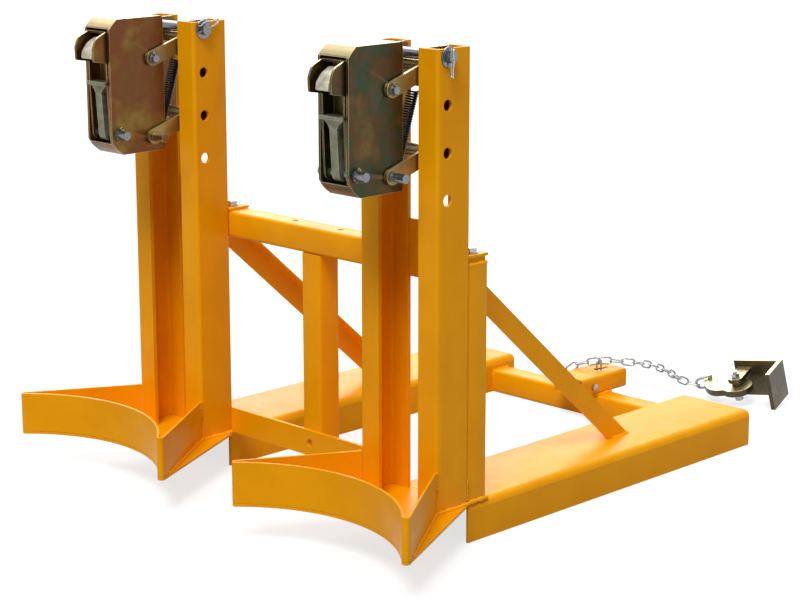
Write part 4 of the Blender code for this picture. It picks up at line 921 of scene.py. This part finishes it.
def bead_tree():
    """Flattened balls of varied size along a path."""
    tree, entry = new_tree("weld_bead", Step=0.003, Size=0.003)
    curve = add(tree, "GeometryNodeMeshToCurve", {"Mesh": entry["Geometry"]})
    steps = {"Curve": curve.outputs[0], "Length": entry["Step"]}
    points = add(tree, "GeometryNodeCurveToPoints", steps, mode="LENGTH")
    ball = {"Segments": POOL_SIDES, "Rings": POOL_RINGS, "Radius": 1.0}
    pool = add(tree, "GeometryNodeMeshUVSphere", ball)
    squash = {"Geometry": pool.outputs["Mesh"], "Scale": (1.0, 1.0, POOL_FLATNESS)}
    flat = add(tree, "GeometryNodeTransform", squash)
    draw = {RANDOM_MIN: POOL_SMALLEST, RANDOM_MAX: POOL_LARGEST, "Seed": POOL_SEED}
    vary = add(tree, "FunctionNodeRandomValue", draw, data_type="FLOAT")
    sized = {0: vary.outputs[RANDOM_VALUE], 1: entry["Size"]}
    scale = add(tree, "ShaderNodeMath", sized, operation="MULTIPLY")
    row = {
        "Points": points.outputs["Points"],
        "Instance": flat.outputs[0],
        "Rotation": points.outputs["Rotation"],
        "Scale": scale.outputs[0],
    }
    pools = add(tree, "GeometryNodeInstanceOnPoints", row)
    return close_tree(tree, pools.outputs[0], enamel)


BEAD_TREE = bead_tree()


def bead(name, points, size_mm):
    """A bead on the frame through the drawing's points, laid straight from one to the next."""
    path = [at(*p) for p in points]
    piece = grow(name, BEAD_TREE, path, path_edges(path), Step=BEAD_STEP * MM, Size=size_mm * MM)
    return dress(piece, "frame", "enamel")


# %% Beads on the rear posts, the braces and the cross tube
THIN_BEAD, LEG_BEAD, PLATE_BEAD, MAST_BEAD, POST_BEAD = 3.0, 3.2, 4.2, 4.4, 5.0  # sizes
POCKET_TOP = 72.0
POST_OUTER = 90.0  # from the mast's centre line to the post's outer face
POST_WIDTH = 50.0
POST_FRONT, POST_BACK, POST_TOP = 80.3, 130.3, 495.0
POST_SEAM = (80.0, 118.0)  # heights of the bead up the post's front corner
NUT_PLATE_INSET = 3.5
BRACE_INNER, BRACE_OUTER, BRACE_FRONT, BRACE_BACK = 290.0, 330.0, 571.0, 616.0
TUBE_END, TUBE_FRONT, TUBE_BACK, TUBE_TOP = 229.5, 841.0, 889.0, 49.0
TUBE_SEAM_START = 5.0  # height of the bead's lower end, clear of the ground


def round_the_corner(outer, inner, front, back, height):
    """A seam along an outer side and round the corner to the back."""
    return [(outer, front, height), (outer, back, height), (inner, back, height)]


for prefix, centre in SIDES:
    side = math.copysign(1.0, centre)
    outer = centre + side * POST_OUTER
    inner = outer - side * POST_WIDTH
    foot = round_the_corner(outer, inner, POST_FRONT + 4, POST_BACK, POCKET_TOP + 1)
    bead(f"{prefix}_post_foot_bead", foot, POST_BEAD)
    bead(f"{prefix}_post_side_bead", [(outer, POST_FRONT, z) for z in POST_SEAM], THIN_BEAD)
    rim = outer - side * NUT_PLATE_INSET
    plate = round_the_corner(rim, inner, POST_FRONT + 3, POST_BACK - 3, POST_TOP + 2)
    bead(f"{prefix}_nut_plate_bead", plate, PLATE_BEAD)
    outer = side * BRACE_OUTER
    inner = side * BRACE_INNER
    brace = round_the_corner(outer, inner, BRACE_FRONT, BRACE_BACK, POCKET_TOP + 0.5)
    bead(f"{prefix}_brace_foot_bead", brace, THIN_BEAD)
    x = side * TUBE_END
    tube = [(x, TUBE_FRONT + 1, TUBE_SEAM_START), (x, TUBE_FRONT, TUBE_TOP - 1), (x, TUBE_BACK, TUBE_TOP)]
    bead(f"{prefix}_tube_end_bead", tube, THIN_BEAD)

# %% Beads on the masts' feet and the cradles' legs
MAST_SEAM = (2.0, 78.0)  # front and back end of the bead along a mast's foot
CRADLE_SHIFT = 8.0  # of the cradle's middle from its mast's
LEG_REACH = 203.0  # from the cradle's middle to the front end of a leg
LEG_BACK, LEG_FRONT = -3.0, -176.0
LEG_END_SEAM = (120.0, 147.0)  # heights of the bead where a leg meets its mast
for prefix, centre in SIDES:
    for hand, label in ((-1, "west"), (1, "east")):
        face = centre + hand * MAST_HALF
        foot = [(face, y, POCKET_TOP + 1) for y in MAST_SEAM]
        bead(f"{prefix}_{label}_mast_foot_bead", foot, MAST_BEAD)
        nose = centre + CRADLE_SHIFT + hand * LEG_REACH
        leg = [(face + hand * 2, LEG_BACK, POCKET_TOP + 1), (nose, LEG_FRONT, POCKET_TOP + 1)]
        bead(f"{prefix}_{label}_leg_foot_bead", leg, LEG_BEAD)
        end = [(face + hand, LEG_BACK / 2, z) for z in LEG_END_SEAM]
        bead(f"{prefix}_{label}_leg_end_bead", end, THIN_BEAD)

# %% Beads on the chain's anchor tube
ANCHOR_LEFT, ANCHOR_RIGHT = -13.0, 65.5
for label, x in (("front", ANCHOR_LEFT), ("right", ANCHOR_RIGHT)):
    seam = [(x, TUBE_FRONT, TUBE_TOP + 2), (x, TUBE_BACK, TUBE_TOP + 2)]
    bead(f"anchor_{label}_bead", seam, LEG_BEAD)
edge_y, edge_z = TUBE_FRONT - 2, TUBE_TOP + 1
edge = [(ANCHOR_LEFT - 1, edge_y, edge_z), (ANCHOR_RIGHT - 1.5, edge_y, edge_z)]
bead("anchor_edge_bead", edge, LEG_BEAD)
